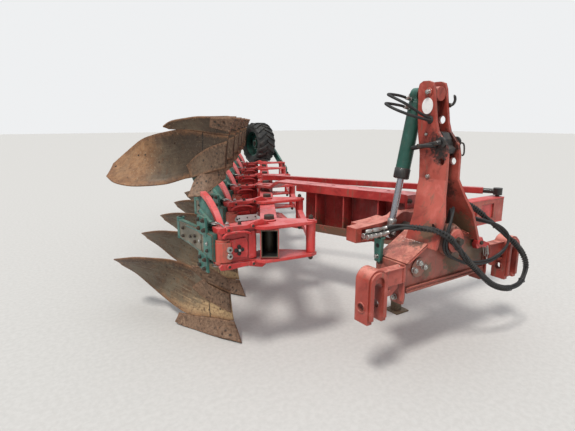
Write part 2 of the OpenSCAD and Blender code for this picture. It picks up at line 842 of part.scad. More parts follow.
// Tower plates, cross boss and the pin of the turnover ram
module tower_upper() {
    head = tower_top - 50;
    neck = top_pin_z + 69;
    polygon([[218, splay_z], [226, top_pin_z - 59], [250, neck], [262, neck + 0.414 * (head - neck)], [272, head],
             [262, tower_top - 15], [235, tower_top], [190, tower_top], [158, tower_top - 12],
             [143, head], [110, neck + 0.276 * (head - neck)], [90, neck + 20], [58, neck - 16], [20, top_pin_z + 9],
             [4, top_pin_z - 61], [2, splay_z]]);
}

module tower_lower(flare) {
    polygon([[218, splay_z + eps], [2, splay_z + eps], [-25, 1080], [-50 - flare, 950],
             [-60 - flare, 740], [170, 740], [175, 940], [205, 1090]]);
}

module tower() {
    g = tower_gap / 2;
    color(red) at_origin() {
        difference() {
            both_sides() yz_plate(g, g + tower_t) tower_upper();
            translate([0, top_hole_y, top_hole_z]) along_x(top_hole_d / 2, -200, 200);
            translate([0, 93, top_pin_z]) along_x(16 + run_gap, -200, 200);
            translate([0, hose_hole_y, hose_hole_z]) along_x(hose_hole_r, -200, 200);
        }
        difference() {
            both_sides() translate([g, 0, splay_z]) rotate([0, -splay_deg, 0]) translate([0, 0, -splay_z])
                yz_plate(0, tower_t) tower_lower(20);
            xz_plate(-200, 400) cross_outline(-0.3);
        }
        translate([0, 0, ram_top_z]) {
            along_y(46, 140, ram_y - barrel_r - 8);
            along_y(30, 140, ram_y - 30.3);
            along_y(22, 140, ram_y + 43);
            translate([-g - eps, 150, -30]) cube([2 * g + 2 * eps, 90, 60]);
        }
        translate([0, 0, ram_top_z]) along_y(34, ram_y + 30.3, ram_y + 43);
        both_sides() translate([0, 187, ram_top_z + 4]) along_x(20, g + tower_t - 1, g + tower_t + 12);
    }
}

module top_link_pin() {
    g = tower_gap / 2 + tower_t;
    color(black) at_origin() translate([0, 93, top_pin_z]) {
        along_x(16, -g - 30, g + 26);
        translate([-g - 22, 0, 0]) rotate([0, 0, 160]) along_x(13, 0, 120);
    }
}

// Holder for the parked hose couplings
module coupling_holder() {
    color(teal) at_origin() {
        yz_plate(-446, -422.3) polygon([[180, 640], [226, 640], [226, 832], [180, 832]]);
        translate([-446, 165, 822]) cube([24, 76, 14]);
    }
}

module hose_couplings() {
    color(steel) at_origin() translate([0, 203, 851.3]) both_sides_y() translate([0, 19, 0])
        along_x(15, -560, -400);
}

module both_sides_y() {
    children();
    mirror([0, 1, 0]) children();
}

// Hoses: tubes swept along points chosen by hand
BUNDLE = [
    [141.6, 110, 1010], [198, 104, 1014], [262, 84, 1002], [330, 54, 966], [430, 2, 885],
    [520, -60, 790], [620, -110, 700], [690, -145, 605], [704, -165, 512], [633, -180, 430],
    [487, -175, 405], [315, -155, 461], [158, -130, 585], [34, -110, 697], [-60, -112, 785],
    [-160, -112, 862], [-240, -55, 905], [-300, 40, 910], [-345, 125, 893], [-408, 203, 856]];
LOOP = [
    [118, 90, 846], [112, 84, 905], [85, 60, 965], [35, 15, 1000], [-20, -30, 985],
    [-68, -55, 925], [-102, -62, 850], [-106, -56, 780], [-60, -48, 715], [30, -46, 665],
    [140, -46, 622], [267, -50, 598], [390, -70, 600], [484, -96, 650], [526, -112, 720],
    [500, -114, 790], [430, -98, 846], [350, -62, 880], [284, 4, 902], [234, 68, 914],
    [175, 105, 921.5]];
RAM_HOSE_A = [
    [-73.8, 330, 1709.3], [-120, 331, 1720], [-185, 331, 1731], [-250, 331, 1736],
    [-292, 320, 1735], [-323, 289, 1728], [-334, 247, 1714], [-323, 205, 1694],
    [-292, 174, 1672], [-250, 163, 1650], [-185, 162, 1622], [-125, 161, 1600], [-66, 160, 1579]];
RAM_HOSE_B = [
    [-86.7, 330, 1650.7], [-135, 330, 1662], [-200, 330, 1671], [-270, 329, 1677],
    [-314, 317, 1677], [-346, 285, 1671], [-358, 241, 1655], [-346, 197, 1635],
    [-314, 165, 1617], [-270, 153, 1603], [-200, 152, 1590], [-130, 152, 1578], [-66, 152, 1567]];

module hose(route, r, rings) {
    pts = [for (i = [0:rings]) spline(route, i / rings)];
    n = len(pts);
    sides = 8;
    function tangent(i) = unit(pts[min(i + 1, n - 1)] - pts[max(i - 1, 0)]);
    function side(i) = unit(cross(tangent(i), [0.3, 0.2, 0.93]));
    ringpts = [for (i = [0:n - 1]) let (t = tangent(i), a = side(i), b = cross(t, a))
        for (s = [0:sides - 1]) pts[i] + r * (cos(360 * s / sides) * a + sin(360 * s / sides) * b)];
    faces = concat(
        [for (i = [0:n - 2]) for (s = [0:sides - 1]) let (q = (s + 1) % sides) each [
            [i * sides + s, (i + 1) * sides + q, i * sides + q],
            [i * sides + s, (i + 1) * sides + s, (i + 1) * sides + q]]],
        [[for (s = [0:sides - 1]) s]],
        [[for (s = [sides - 1:-1:0]) (n - 1) * sides + s]]);
    polyhedron(points = ringpts, faces = faces, convexity = 8);
}

module hose_bundle() {
    color(black) at_origin() hose(BUNDLE, 26, 44);
}

module hose_loop() {
    color(black) at_origin() hose(LOOP, 11, 40);
}

module ram_hoses() {
    color(black) at_origin() {
        hose(RAM_HOSE_A, 9, 26);
        hose(RAM_HOSE_B, 9, 26);
        translate([0, hose_hole_y, hose_hole_z])
            along_x(hose_hole_r - 0.3, -tower_gap / 2 - tower_t - 4, -tower_gap / 2);
    }
}

cross_beam();
hitch_forks();
tower();
top_link_pin();
coupling_holder();
hose_couplings();
hose_bundle();
hose_loop();
ram_hoses();
turnover_shaft();
turning_head();
arm();
stand_socket();
stand_leg();
ram_barrel();
ram_rod();
strut_fork();
strut_tube();
beam();
link_bar();
wheel_arm();
wheel_rim();
wheel_tyre();
for (k = stations) {
    at_station(k) bracket(k);
    at_station(k) legs();
    at_station(k) boards();
    at_station(k) shares();
}
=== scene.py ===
"""Looks of the mounted reversible plough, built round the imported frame."""

import json
import math
import random

import bpy
from mathutils import Matrix, Vector

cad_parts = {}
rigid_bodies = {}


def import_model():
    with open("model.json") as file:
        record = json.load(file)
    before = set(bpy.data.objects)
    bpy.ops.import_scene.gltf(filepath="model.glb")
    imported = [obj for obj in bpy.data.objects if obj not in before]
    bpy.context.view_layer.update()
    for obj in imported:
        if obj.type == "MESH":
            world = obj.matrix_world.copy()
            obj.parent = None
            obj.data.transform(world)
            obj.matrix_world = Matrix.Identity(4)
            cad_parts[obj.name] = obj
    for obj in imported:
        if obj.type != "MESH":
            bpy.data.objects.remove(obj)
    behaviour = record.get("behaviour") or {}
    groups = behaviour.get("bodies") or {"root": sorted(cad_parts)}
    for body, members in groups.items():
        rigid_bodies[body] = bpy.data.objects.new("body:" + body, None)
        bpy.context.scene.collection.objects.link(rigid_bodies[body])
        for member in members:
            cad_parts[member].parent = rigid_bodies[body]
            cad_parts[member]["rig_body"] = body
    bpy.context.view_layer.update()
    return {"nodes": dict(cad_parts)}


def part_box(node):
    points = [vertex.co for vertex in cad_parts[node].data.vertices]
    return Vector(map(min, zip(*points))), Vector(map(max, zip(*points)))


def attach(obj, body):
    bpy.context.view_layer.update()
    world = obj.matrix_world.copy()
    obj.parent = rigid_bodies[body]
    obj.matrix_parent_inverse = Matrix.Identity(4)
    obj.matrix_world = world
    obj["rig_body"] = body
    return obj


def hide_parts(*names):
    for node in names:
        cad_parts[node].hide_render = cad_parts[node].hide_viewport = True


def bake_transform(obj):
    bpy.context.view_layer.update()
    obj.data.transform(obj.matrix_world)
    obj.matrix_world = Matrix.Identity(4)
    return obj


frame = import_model()
NODES = frame["nodes"]
STATIONS = range(1, 7)

# Everything below is written in plough coordinates: millimetres from the middle of the
# headstock's front face on the ground, X across, Y back, Z up. SHIFT takes them to the frame.
# The low corner of the cross beam's box, in metres, ties the two together.
CROSS_BEAM_X, CROSS_BEAM_Y = -0.422, -0.014
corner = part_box("cross_beam")[0]
SHIFT = Vector((corner.x - CROSS_BEAM_X, corner.y - CROSS_BEAM_Y, 0.0))

# Height of the turnover axis, the beam as seen from above, the pivot bolt of the first
# station, the distance between stations, and the share's tip from its station's bolt
AXIS_Z = 800
BEAM_ANGLE = math.radians(29.4)
BEAM_DIR = Vector((math.sin(BEAM_ANGLE), math.cos(BEAM_ANGLE), 0))
BOLT_1 = Vector((-987, 671, 0))
SPACING = 850
TIP = Vector((-159, 142, 0))
LEFT, FRONT = (-1, 0, 0), (0, -1, 0)
ACROSS_Y, ACROSS_Z = Vector((0, 1, 0)), Vector((0, 0, 1))


def metres(p):
    """A point in plough coordinates, taken to the frame."""
    return Vector(p) / 1000 + SHIFT


def bolt_at(k):
    """Pivot bolt of a station on the beam."""
    return BOLT_1 + BEAM_DIR * SPACING * (k - 1)


def place_object(name, data):
    made = bpy.data.objects.new(name, data)
    bpy.context.scene.collection.objects.link(made)
    return made


def aim(obj, direction):
    obj.rotation_mode = "QUATERNION"
    obj.rotation_quaternion = direction.to_track_quat("-Z", "Y")


# The photograph's viewpoint, its focal length and its width in pixels
EYE = (-2410, -1745, 1564)
LOOK_X, LOOK_Y, LOOK_DOWN = 0.545, 0.839, math.radians(12.3)
FOCAL, PHOTO_WIDTH, SENSOR = 432, 575, 36


def add_camera():
    data = bpy.data.cameras.new("camera")
    data.sensor_width = SENSOR
    data.lens = SENSOR * FOCAL / PHOTO_WIDTH
    data.clip_start = 0.05
    data.clip_end = 200
    camera = place_object("camera", data)
    camera.location = metres(EYE)
    level = math.cos(LOOK_DOWN)
    aim(camera, Vector((LOOK_X * level, LOOK_Y * level, -math.sin(LOOK_DOWN))))
    bpy.context.scene.camera = camera


# Materials
class Value:
    """Output of a node, so that sums and products of outputs can be written out."""

    def __init__(self, graph, socket):
        self.graph = graph
        self.socket = socket

    def __add__(self, other):
        return self.graph.calc("ADD", self, other)

    def __sub__(self, other):
        return self.graph.calc("SUBTRACT", self, other)

    def __rsub__(self, other):
        return self.graph.calc("SUBTRACT", other, self)

    def __mul__(self, other):
        return self.graph.calc("MULTIPLY", self, other)


class Graph:
    """A node tree, built up one node at a time."""

    def __init__(self, tree):
        self.tree = tree

    def feed(self, node, inputs):
        """Link or set a node's inputs. None leaves one as it is."""
        for key, value in inputs.items():
            socket = node.inputs[key]
            if isinstance(value, Value):
                self.tree.links.new(value.socket, socket)
            elif value is not None:
                socket.default_value = (*value, 1.0) if socket.type == "RGBA" else value

    def node(self, kind, output=0, inputs=None, **settings):
        """One output of a new node."""
        made = self.tree.nodes.new(kind)
        for key, setting in settings.items():
            setattr(made, key, setting)
        self.feed(made, inputs or {})
        return Value(self, made.outputs[output])

    def split(self, vector):
        made = self.tree.nodes.new("ShaderNodeSeparateXYZ")
        self.feed(made, {0: vector})
        return [Value(self, out) for out in made.outputs]

    def calc(self, operation, a, b=None):
        return self.node("ShaderNodeMath", 0, {0: a, 1: b}, operation=operation)

    def band(self, value, low, high, top=1.0):
        """0 under low, top over high, smooth between."""
        inputs = {"Value": value, "From Min": low, "From Max": high, "To Max": top}
        return self.node("ShaderNodeMapRange", "Result", inputs, interpolation_type="SMOOTHSTEP")

    def mix(self, share, a, b):
        return self.node("ShaderNodeMix", 2, {0: share, 6: a, 7: b}, data_type="RGBA")


class Surface(Graph):
    """A procedural material."""

    def __init__(self, name, colour, rough=0.5, metal=0.0):
        self.mat = bpy.data.materials.new(name)
        self.mat.use_nodes = True
        super().__init__(self.mat.node_tree)
        self.colour = colour
        self.bsdf = self.tree.nodes["Principled BSDF"]
        self.feed(self.bsdf, {"Roughness": rough, "Metallic": metal})
        self.place = self.node("ShaderNodeTexCoord", "Object")

    def noise(self, scale, detail=5, rough=0.6, stretch=None, place=None, warp=0.0):
        place = place or self.place
        if stretch:
            place = self.node("ShaderNodeMapping", "Vector", {"Vector": place, "Scale": stretch})
        return self.node("ShaderNodeTexNoise", "Fac", {
            "Vector": place, "Scale": scale, "Detail": detail, "Roughness": rough, "Distortion": warp})

    def over(self, share, colour):
        """Lays a colour over what is there already, by a share from 0 to 1."""
        self.colour = self.mix(share, self.colour, colour)

    def rust(self, grain):
        return self.mix(self.band(grain, 0.4, 0.6), RUST, DARK_RUST)

    def edge(self, radius):
        """About 1 on outer edges, and the rounded normal that goes with it."""
        rounded = self.node("ShaderNodeBevel", 0, {"Radius": radius}, samples=4)
        plain = self.node("ShaderNodeNewGeometry", "Normal")
        along = self.node("ShaderNodeVectorMath", "Value", {0: rounded, 1: plain}, operation="DOT_PRODUCT")
        return self.band(1.0 - along, 0.01, 0.16), rounded

    def corner(self, reach=0.06):
        """About 1 in corners and under things."""
        return 1.0 - self.node("ShaderNodeAmbientOcclusion", "AO", {"Distance": reach}, samples=4)

    def sky(self):
        """How far the surface faces up in its own frame, from 0 to 1."""
        return self.band(self.split(self.node("ShaderNodeTexCoord", "Normal"))[2], 0.25, 0.95)

    def bump(self, height, strength, distance, normal=None):
        return self.node("ShaderNodeBump", 0, {
            "Strength": strength, "Distance": distance, "Height": height, "Normal": normal})

    def done(self, rough=None, normal=None, metal=None, coat=0.0):
        self.feed(self.bsdf, {"Base Color": self.colour, "Roughness": rough, "Normal": normal,
                              "Metallic": metal, "Coat Weight": coat})
        return self.mat


RUST = (0.20, 0.075, 0.03)
DARK_RUST = (0.045, 0.024, 0.015)
PITTED_AND_SHADE = (0.030, 0.017, 0.011)
SOIL = (0.27, 0.20, 0.13)
OIL = (0.014, 0.010, 0.008)
EARTH = (0.125, 0.088, 0.052)


def shade(tint, share):
    return tuple(c * share for c in tint)


def paint(name, base, faded, sky, chips=0.5, dirt_and_shade=0.5, blotch=0.5, coat=0.15, smears=()):
    """Old paint: faded in patches, dusty and paler on top with painted top light, paler at edges with a
    painted highlight and chipped to rust there, dirty in corners and darker there and in hollows as painted
    shade.
    Smears are (place, reach, colour) of grease or soil, with the reach in metres."""
    s = Surface(name, base)
    broad = s.noise(1.7, 4, warp=0.5)
    middle = s.noise(8, 7, 0.66, warp=0.5)
    fine = s.noise(42, 8, 0.72)
    pale = tuple(min(1.0, c * 1.12 + 0.035) for c in faded)
    s.over(s.band(broad, 0.40, 0.60), faded)
    s.over(s.band(middle, 0.50, 0.72, blotch), shade(base, 0.42))
    s.over(s.band(middle, 0.46, 0.30, 0.7), pale)
    # Paler on top: dust and sun-faded paint, and painted top light
    s.over(s.sky() * s.band(middle + fine * 0.5, 0.55, 0.85, 0.9), sky)
    # Soil in corners, darkened further as painted shade where the surface is hemmed in
    corner_grime_and_shade = s.band(s.corner(), 0.22, 0.80) * s.band(fine, 0.30, 0.55)
    s.over(corner_grime_and_shade * dirt_and_shade, shade(SOIL, 0.22))
    streak = s.noise(10, 6, 0.72, stretch=(3.0, 3.0, 0.45))
    s.over(s.band(streak, 0.53, 0.70, dirt_and_shade * 0.7), shade(SOIL, 0.60))
    # Painted shade: much darker far into hollows, between flanges and under things
    s.over(s.band(s.corner(0.26), 0.38, 0.85, 0.80), shade(base, 0.30))
    for centre, reach, stain in smears:
        gap = s.node("ShaderNodeVectorMath", "Value", {0: s.place, 1: metres(centre)}, operation="DISTANCE")
        ragged = gap + (fine - 0.5) * (reach * 2.4)
        s.over(s.band(ragged, reach, reach * 0.45, 0.9), stain)
    edge, rounded = s.edge(0.008)
    # Paler along edges: rubbed paint, and a painted highlight
    s.over(edge * s.band(fine, 0.30, 0.55, 0.45), pale)
    wear = edge * s.band(fine, 0.46, 0.58)
    spots = s.band(fine, 0.62, 0.67) * s.band(middle, 0.48, 0.60)
    chipped = s.calc("MAXIMUM", wear, spots) * chips
    s.over(chipped, s.rust(s.noise(240, 3)))
    rough = s.band(middle, 0.2, 0.8, 0.3) + chipped * 0.25 + 0.30
    return s.done(rough, s.bump(fine * 0.35 - chipped, 0.4, 0.0014, rounded), coat=coat)


def rusty_plate(name, board=False):
    """Plough steel: scoured grey-olive in the middle, rusty at the edges, streaked along the flow.
    A board's attribute holds its place along and up, and its kind: 0 for a lower mouldboard, 0.3
    for an upper one, 0.5 for an upper share and more for lower shares, trash boards and blades. The
    low kinds of the upper share and blade keep them darker as painted shade; the seam of the upper
    boards and all corners are darkened as painted shade too."""
    s = Surface(name, (0.145, 0.112, 0.072), metal=0.06)
    if board:
        across, up, kind = s.split(s.node("ShaderNodeAttribute", "Vector", attribute_name="board"))
        flow = {0: across * 4.0, 1: up * 17.0, 2: s.split(s.place)[1] * 3.0}
        streak = s.noise(1.0, 8, 0.75, place=s.node("ShaderNodeCombineXYZ", 0, flow), warp=0.5)
    else:
        streak = s.noise(12, 7, 0.7, stretch=(1.0, 0.35, 2.2))
    broad = s.noise(3.0, 6, 0.62, warp=0.8)
    middle = s.noise(15, 8, 0.75, warp=0.4)
    fine = s.noise(46, 8, 0.78)
    grain = s.noise(210, 4, 0.7)
    s.over(s.band(broad, 0.42, 0.62), (0.105, 0.058, 0.031))
    s.over(s.band(streak, 0.50, 0.70, 0.7), (0.225, 0.190, 0.135))
    s.over(s.band(middle, 0.52, 0.66, 0.75), (0.20, 0.100, 0.045))
    height = fine * 0.7 + grain * 0.4
    if board:
        upper = s.band(kind, 0.1, 0.2)
        lower = 1.0 - upper
        ragged = (broad - 0.5) * 0.7 + (fine - 0.5) * 0.5
        patches = s.band(middle, 0.4, 0.6)
        # Dark rust along the edge that faces the sky
        facing = lower * s.band(up + ragged, 0.72, 1.02) + upper * s.band(up + ragged, 0.30, 0.02)
        s.over(facing * 0.8, s.mix(s.band(fine, 0.42, 0.6), (0.085, 0.040, 0.018), PITTED_AND_SHADE))
        s.over(upper * 0.5, s.mix(patches, (0.115, 0.070, 0.038), (0.046, 0.023, 0.012)))
        # Orange wing above, dark wing below
        wing = across + ragged
        sunny = upper * s.band(kind, 0.45, 0.38) * s.band(wing, 0.45, 1.0, 0.9)
        s.over(sunny, s.mix(patches, (0.40, 0.205, 0.090), (0.27, 0.125, 0.048)))
        s.over(lower * s.band(wing, 0.80, 1.12, 0.75), (0.060, 0.034, 0.020))
        # Dried soil low down behind the share of the lower boards
        low = 1.0 - (across * 0.72 + up * 0.78) + ragged + (streak - 0.5) * 0.8
        soil = s.mix(s.band(fine, 0.42, 0.62), (0.58, 0.39, 0.20), (0.24, 0.14, 0.070))
        s.over(lower * s.band(low, 0.42, 0.72, 0.85), soil)
        # Painted shade by the seam of the upper boards: darker there
        s.over(upper * s.band(1.0 - wing, 0.45, 0.75, 0.75), (0.045, 0.026, 0.015))
        # Rusty border, the tint of shares and blades, and the seam behind the shin
        border = s.calc("MINIMUM", s.calc("MINIMUM", up, 1.0 - up), 1.0 - across) + (fine - 0.5) * 0.35
        rim = s.mix(patches, (0.27, 0.125, 0.052), (0.15, 0.066, 0.030))
        s.over(s.band(border, 0.13, 0.01, 0.75), rim)
        blade = s.mix(s.band(fine, 0.44, 0.62), (0.27, 0.155, 0.095), (0.085, 0.042, 0.022))
        s.over(s.band(kind, 0.5, 0.8, 0.7), blade)
        gap = s.calc("ABSOLUTE", across - up * 0.06 - 0.17)
        seam = s.band(gap, 0.0045, 0.0020) * s.band(kind, 0.8, 0.5)
        s.over(seam, (0.015, 0.010, 0.007))
        height = height - seam * 2.0
    pits = s.band(fine, 0.55, 0.63) * s.band(middle, 0.36, 0.56)
    s.over(pits * 0.85, PITTED_AND_SHADE)
    flecks = s.band(fine, 0.43, 0.36) * s.band(broad, 0.42, 0.55)
    s.over(flecks * 0.6, (0.42, 0.32, 0.20))
    s.over(s.band(grain, 0.60, 0.70, 0.5), (0.40, 0.30, 0.20))
    edge, rounded = s.edge(0.004)
    s.over(edge * 0.5, (0.265, 0.118, 0.046))
    # Painted shade: darker in corners and under things
    s.over(s.band(s.corner(0.05), 0.35, 0.9, 0.6), PITTED_AND_SHADE)
    rough = s.band(streak, 0.3, 0.7, -0.20) + 0.72
    return s.done(rough, s.bump(height, 0.6, 0.0020, rounded))


def bare_metal(name, base, rust=0.3, rough=0.38, metal=0.9):
    s = Surface(name, base)
    middle = s.noise(24, 7, 0.7)
    fine = s.noise(150, 6, 0.7)
    s.over(s.band(middle, 0.35, 0.7), shade(base, 0.62))
    rusted = s.band(middle, 0.62 - 0.2 * rust, 0.80 - 0.2 * rust) * min(1.0, rust * 1.6)
    s.over(rusted, s.rust(fine))
    # Painted shade: darker in corners
    s.over(s.band(s.corner(0.03), 0.25, 0.85, 0.5), (0.05, 0.04, 0.03))
    rounded = s.edge(0.002)[1]
    return s.done(rusted * 0.4 + rough, s.bump(fine, 0.25, 0.0006, rounded), (1.0 - rusted) * metal)


def rubber(name, base=(0.020, 0.020, 0.021), dust=0.5):
    s = Surface(name, base)
    middle = s.noise(14, 7, 0.7)
    fine = s.noise(170, 5, 0.7)
    s.over(s.band(middle, 0.42, 0.72, dust), (0.105, 0.095, 0.082))
    s.over(s.band(s.corner(0.03), 0.35, 0.9, dust), (0.12, 0.10, 0.075))
    return s.done(s.band(middle, 0.3, 0.7, 0.25) + 0.5, s.bump(fine + middle, 0.3, 0.0008))


def chrome():
    s = Surface("chrome_rod", (0.62, 0.62, 0.66), metal=1.0)
    wipe = s.noise(7, 5, stretch=(1.0, 1.0, 3.0))
    spots = s.noise(220, 4)
    s.over(s.band(wipe, 0.4, 0.75, 0.5), (0.30, 0.28, 0.26))
    s.over(s.band(spots, 0.66, 0.72, 0.7), (0.22, 0.12, 0.07))
    return s.done(s.band(wipe, 0.3, 0.8, 0.22) + 0.13, s.bump(spots, 0.1, 0.0004))


def sign():
    """A blank painted plate with a grubby face."""
    s = Surface("blank_sign", (0.92, 0.91, 0.89), rough=0.35)
    dust = s.noise(60, 6, 0.7)
    s.over(s.band(dust, 0.55, 0.75, 0.5), (0.55, 0.50, 0.43))
    edge, rounded = s.edge(0.0015)
    s.over(edge * 0.3, (0.25, 0.22, 0.2))
    return s.done(None, s.bump(dust, 0.15, 0.0004, rounded))


# Paints are base, faded and sky-facing colour, the last holding painted top light as well as dust and
# fading, then chips, soiling with painted corner shade, blotches and coat
MATS = {
    "faded": paint("red_faded", (0.37, 0.048, 0.031), (0.50, 0.105, 0.075), (0.74, 0.29, 0.225),
                   0.7, 1.0, 0.75),
    "greasy": paint("red_greasy", (0.35, 0.045, 0.029), (0.50, 0.105, 0.075), (0.74, 0.29, 0.225),
                    0.8, 1.0, 0.85,
                    smears=[((-66, 52, 1396), 0.085, OIL), ((-70, 60, 1334), 0.055, OIL),
                            ((0, 90, 1420), 0.13, OIL), ((-60, 176, 1590), 0.045, OIL),
                            ((-172, 20, 860), 0.09, EARTH), ((172, 40, 870), 0.13, EARTH),
                            ((60, 110, 1120), 0.10, (0.05, 0.02, 0.015))]),
    "soiled": paint("red_soiled", (0.25, 0.050, 0.032), (0.36, 0.090, 0.062), (0.72, 0.27, 0.20),
                    0.8, 1.0, 0.8,
                    smears=[((300, -12, 690), 0.16, EARTH), ((60, -12, 640), 0.12, EARTH),
                            ((-200, -12, 620), 0.07, EARTH), ((-230, 60, 800), 0.07, (0.16, 0.09, 0.06))]),
    "olive": paint("soiled_red", (0.22, 0.15, 0.105), (0.34, 0.115, 0.085), (0.42, 0.32, 0.24),
                   0.8, 1.0, 0.8, 0.0),
    "orange": paint("red_sunburnt", (0.56, 0.085, 0.055), (0.70, 0.17, 0.12), (0.80, 0.36, 0.28),
                    0.5, 0.8, 0.5, 0.2),
    "red": paint("red_paint", (0.60, 0.026, 0.025), (0.72, 0.078, 0.072), (0.78, 0.20, 0.20),
                 0.5, 0.8, 0.6, 0.35),
    # A darker copy of the red paint for the arm and strut tube: painted shade on their sides, with a very
    # pale sky-facing colour as painted top light
    "deep": paint("red_shaded", (0.36, 0.020, 0.018), (0.50, 0.050, 0.044), (0.84, 0.29, 0.28),
                  0.5, 0.8, 0.6, 0.35,
                  smears=[((20, 880, 610), 0.17, EARTH), ((-60, 1090, 610), 0.19, EARTH),
                          ((-150, 1330, 610), 0.19, EARTH), ((110, 640, 610), 0.14, EARTH)]),
    "teal": paint("teal_paint", (0.012, 0.100, 0.080), (0.035, 0.165, 0.130), (0.13, 0.25, 0.20),
                  0.9, 0.9, 0.6),
    "green": paint("barrel_paint", (0.006, 0.062, 0.042), (0.012, 0.098, 0.070), (0.050, 0.17, 0.13),
                   0.4, 0.45, 0.5, 0.4),
    "worn": paint("worn_teal", (0.105, 0.092, 0.062), (0.165, 0.135, 0.092), (0.25, 0.21, 0.155),
                  1.0, 0.9, 0.6, 0.0),
    "black": paint("black_paint", (0.012, 0.012, 0.013), (0.024, 0.023, 0.022), (0.075, 0.070, 0.065),
                   0.6, 0.5, 0.4, 0.2),
    "board": rusty_plate("scoured_board", board=True),
    "rust": rusty_plate("rusty_steel"),
    "steel": bare_metal("steel", (0.46, 0.45, 0.43), 0.35),
    "zinc": bare_metal("zinc_bolt", (0.56, 0.55, 0.52), 0.22, 0.34),
    "dark": bare_metal("dark_bolt", (0.085, 0.070, 0.058), 0.55, 0.55, 0.6),
    "hose": rubber("black_rubber", dust=0.30),
    "guard": rubber("spiral_guard", (0.030, 0.030, 0.031), 0.55),
    "tyre": rubber("tyre_rubber", (0.024, 0.025, 0.025), 0.65),
    # Near-black, for black bosses and also as painted shade in holes and inside the beam's open end
    "grease": rubber("old_grease_and_shade", (0.010, 0.009, 0.008), 0.25),
    "chrome": chrome(),
    "sign": sign(),
}


def by_name(groups):
    """From a table of value: names, a table of name: value."""
    return {name: value for value, names in groups.items() for name in names.split()}


SLOTS = by_name({
    "red_faded": "faded greasy soiled olive orange", "red_paint": "red deep",
    "teal_paint": "teal green worn", "black_paint": "black grease", "rusty_steel": "board rust dark",
    "steel": "steel zinc", "black_rubber": "hose guard", "tyre_rubber": "tyre", "chrome_rod": "chrome"})
NODE_MATS = by_name({
    "soiled": "cross_beam", "faded": "hitch_forks turning_head", "greasy": "tower",
    "deep": "arm strut_tube", "red": "stand_socket beam link_bar bracket",
    "teal": "wheel_arm wheel_rim legs", "green": "ram_barrel", "black": "top_link_pin strut_fork",
    "zinc": "hose_couplings", "dark": "turnover_shaft", "rust": "stand_leg", "chrome": "ram_rod"})


def dress_nodes():
    for name, node in NODES.items():
        key = NODE_MATS.get(name.rstrip("_123456"))
        if key and len(node.material_slots) < 2:
            if not node.material_slots:
                node.data.materials.append(MATS[key])
            for slot in node.material_slots:
                slot.link = "OBJECT"
                slot.material = MATS[key]


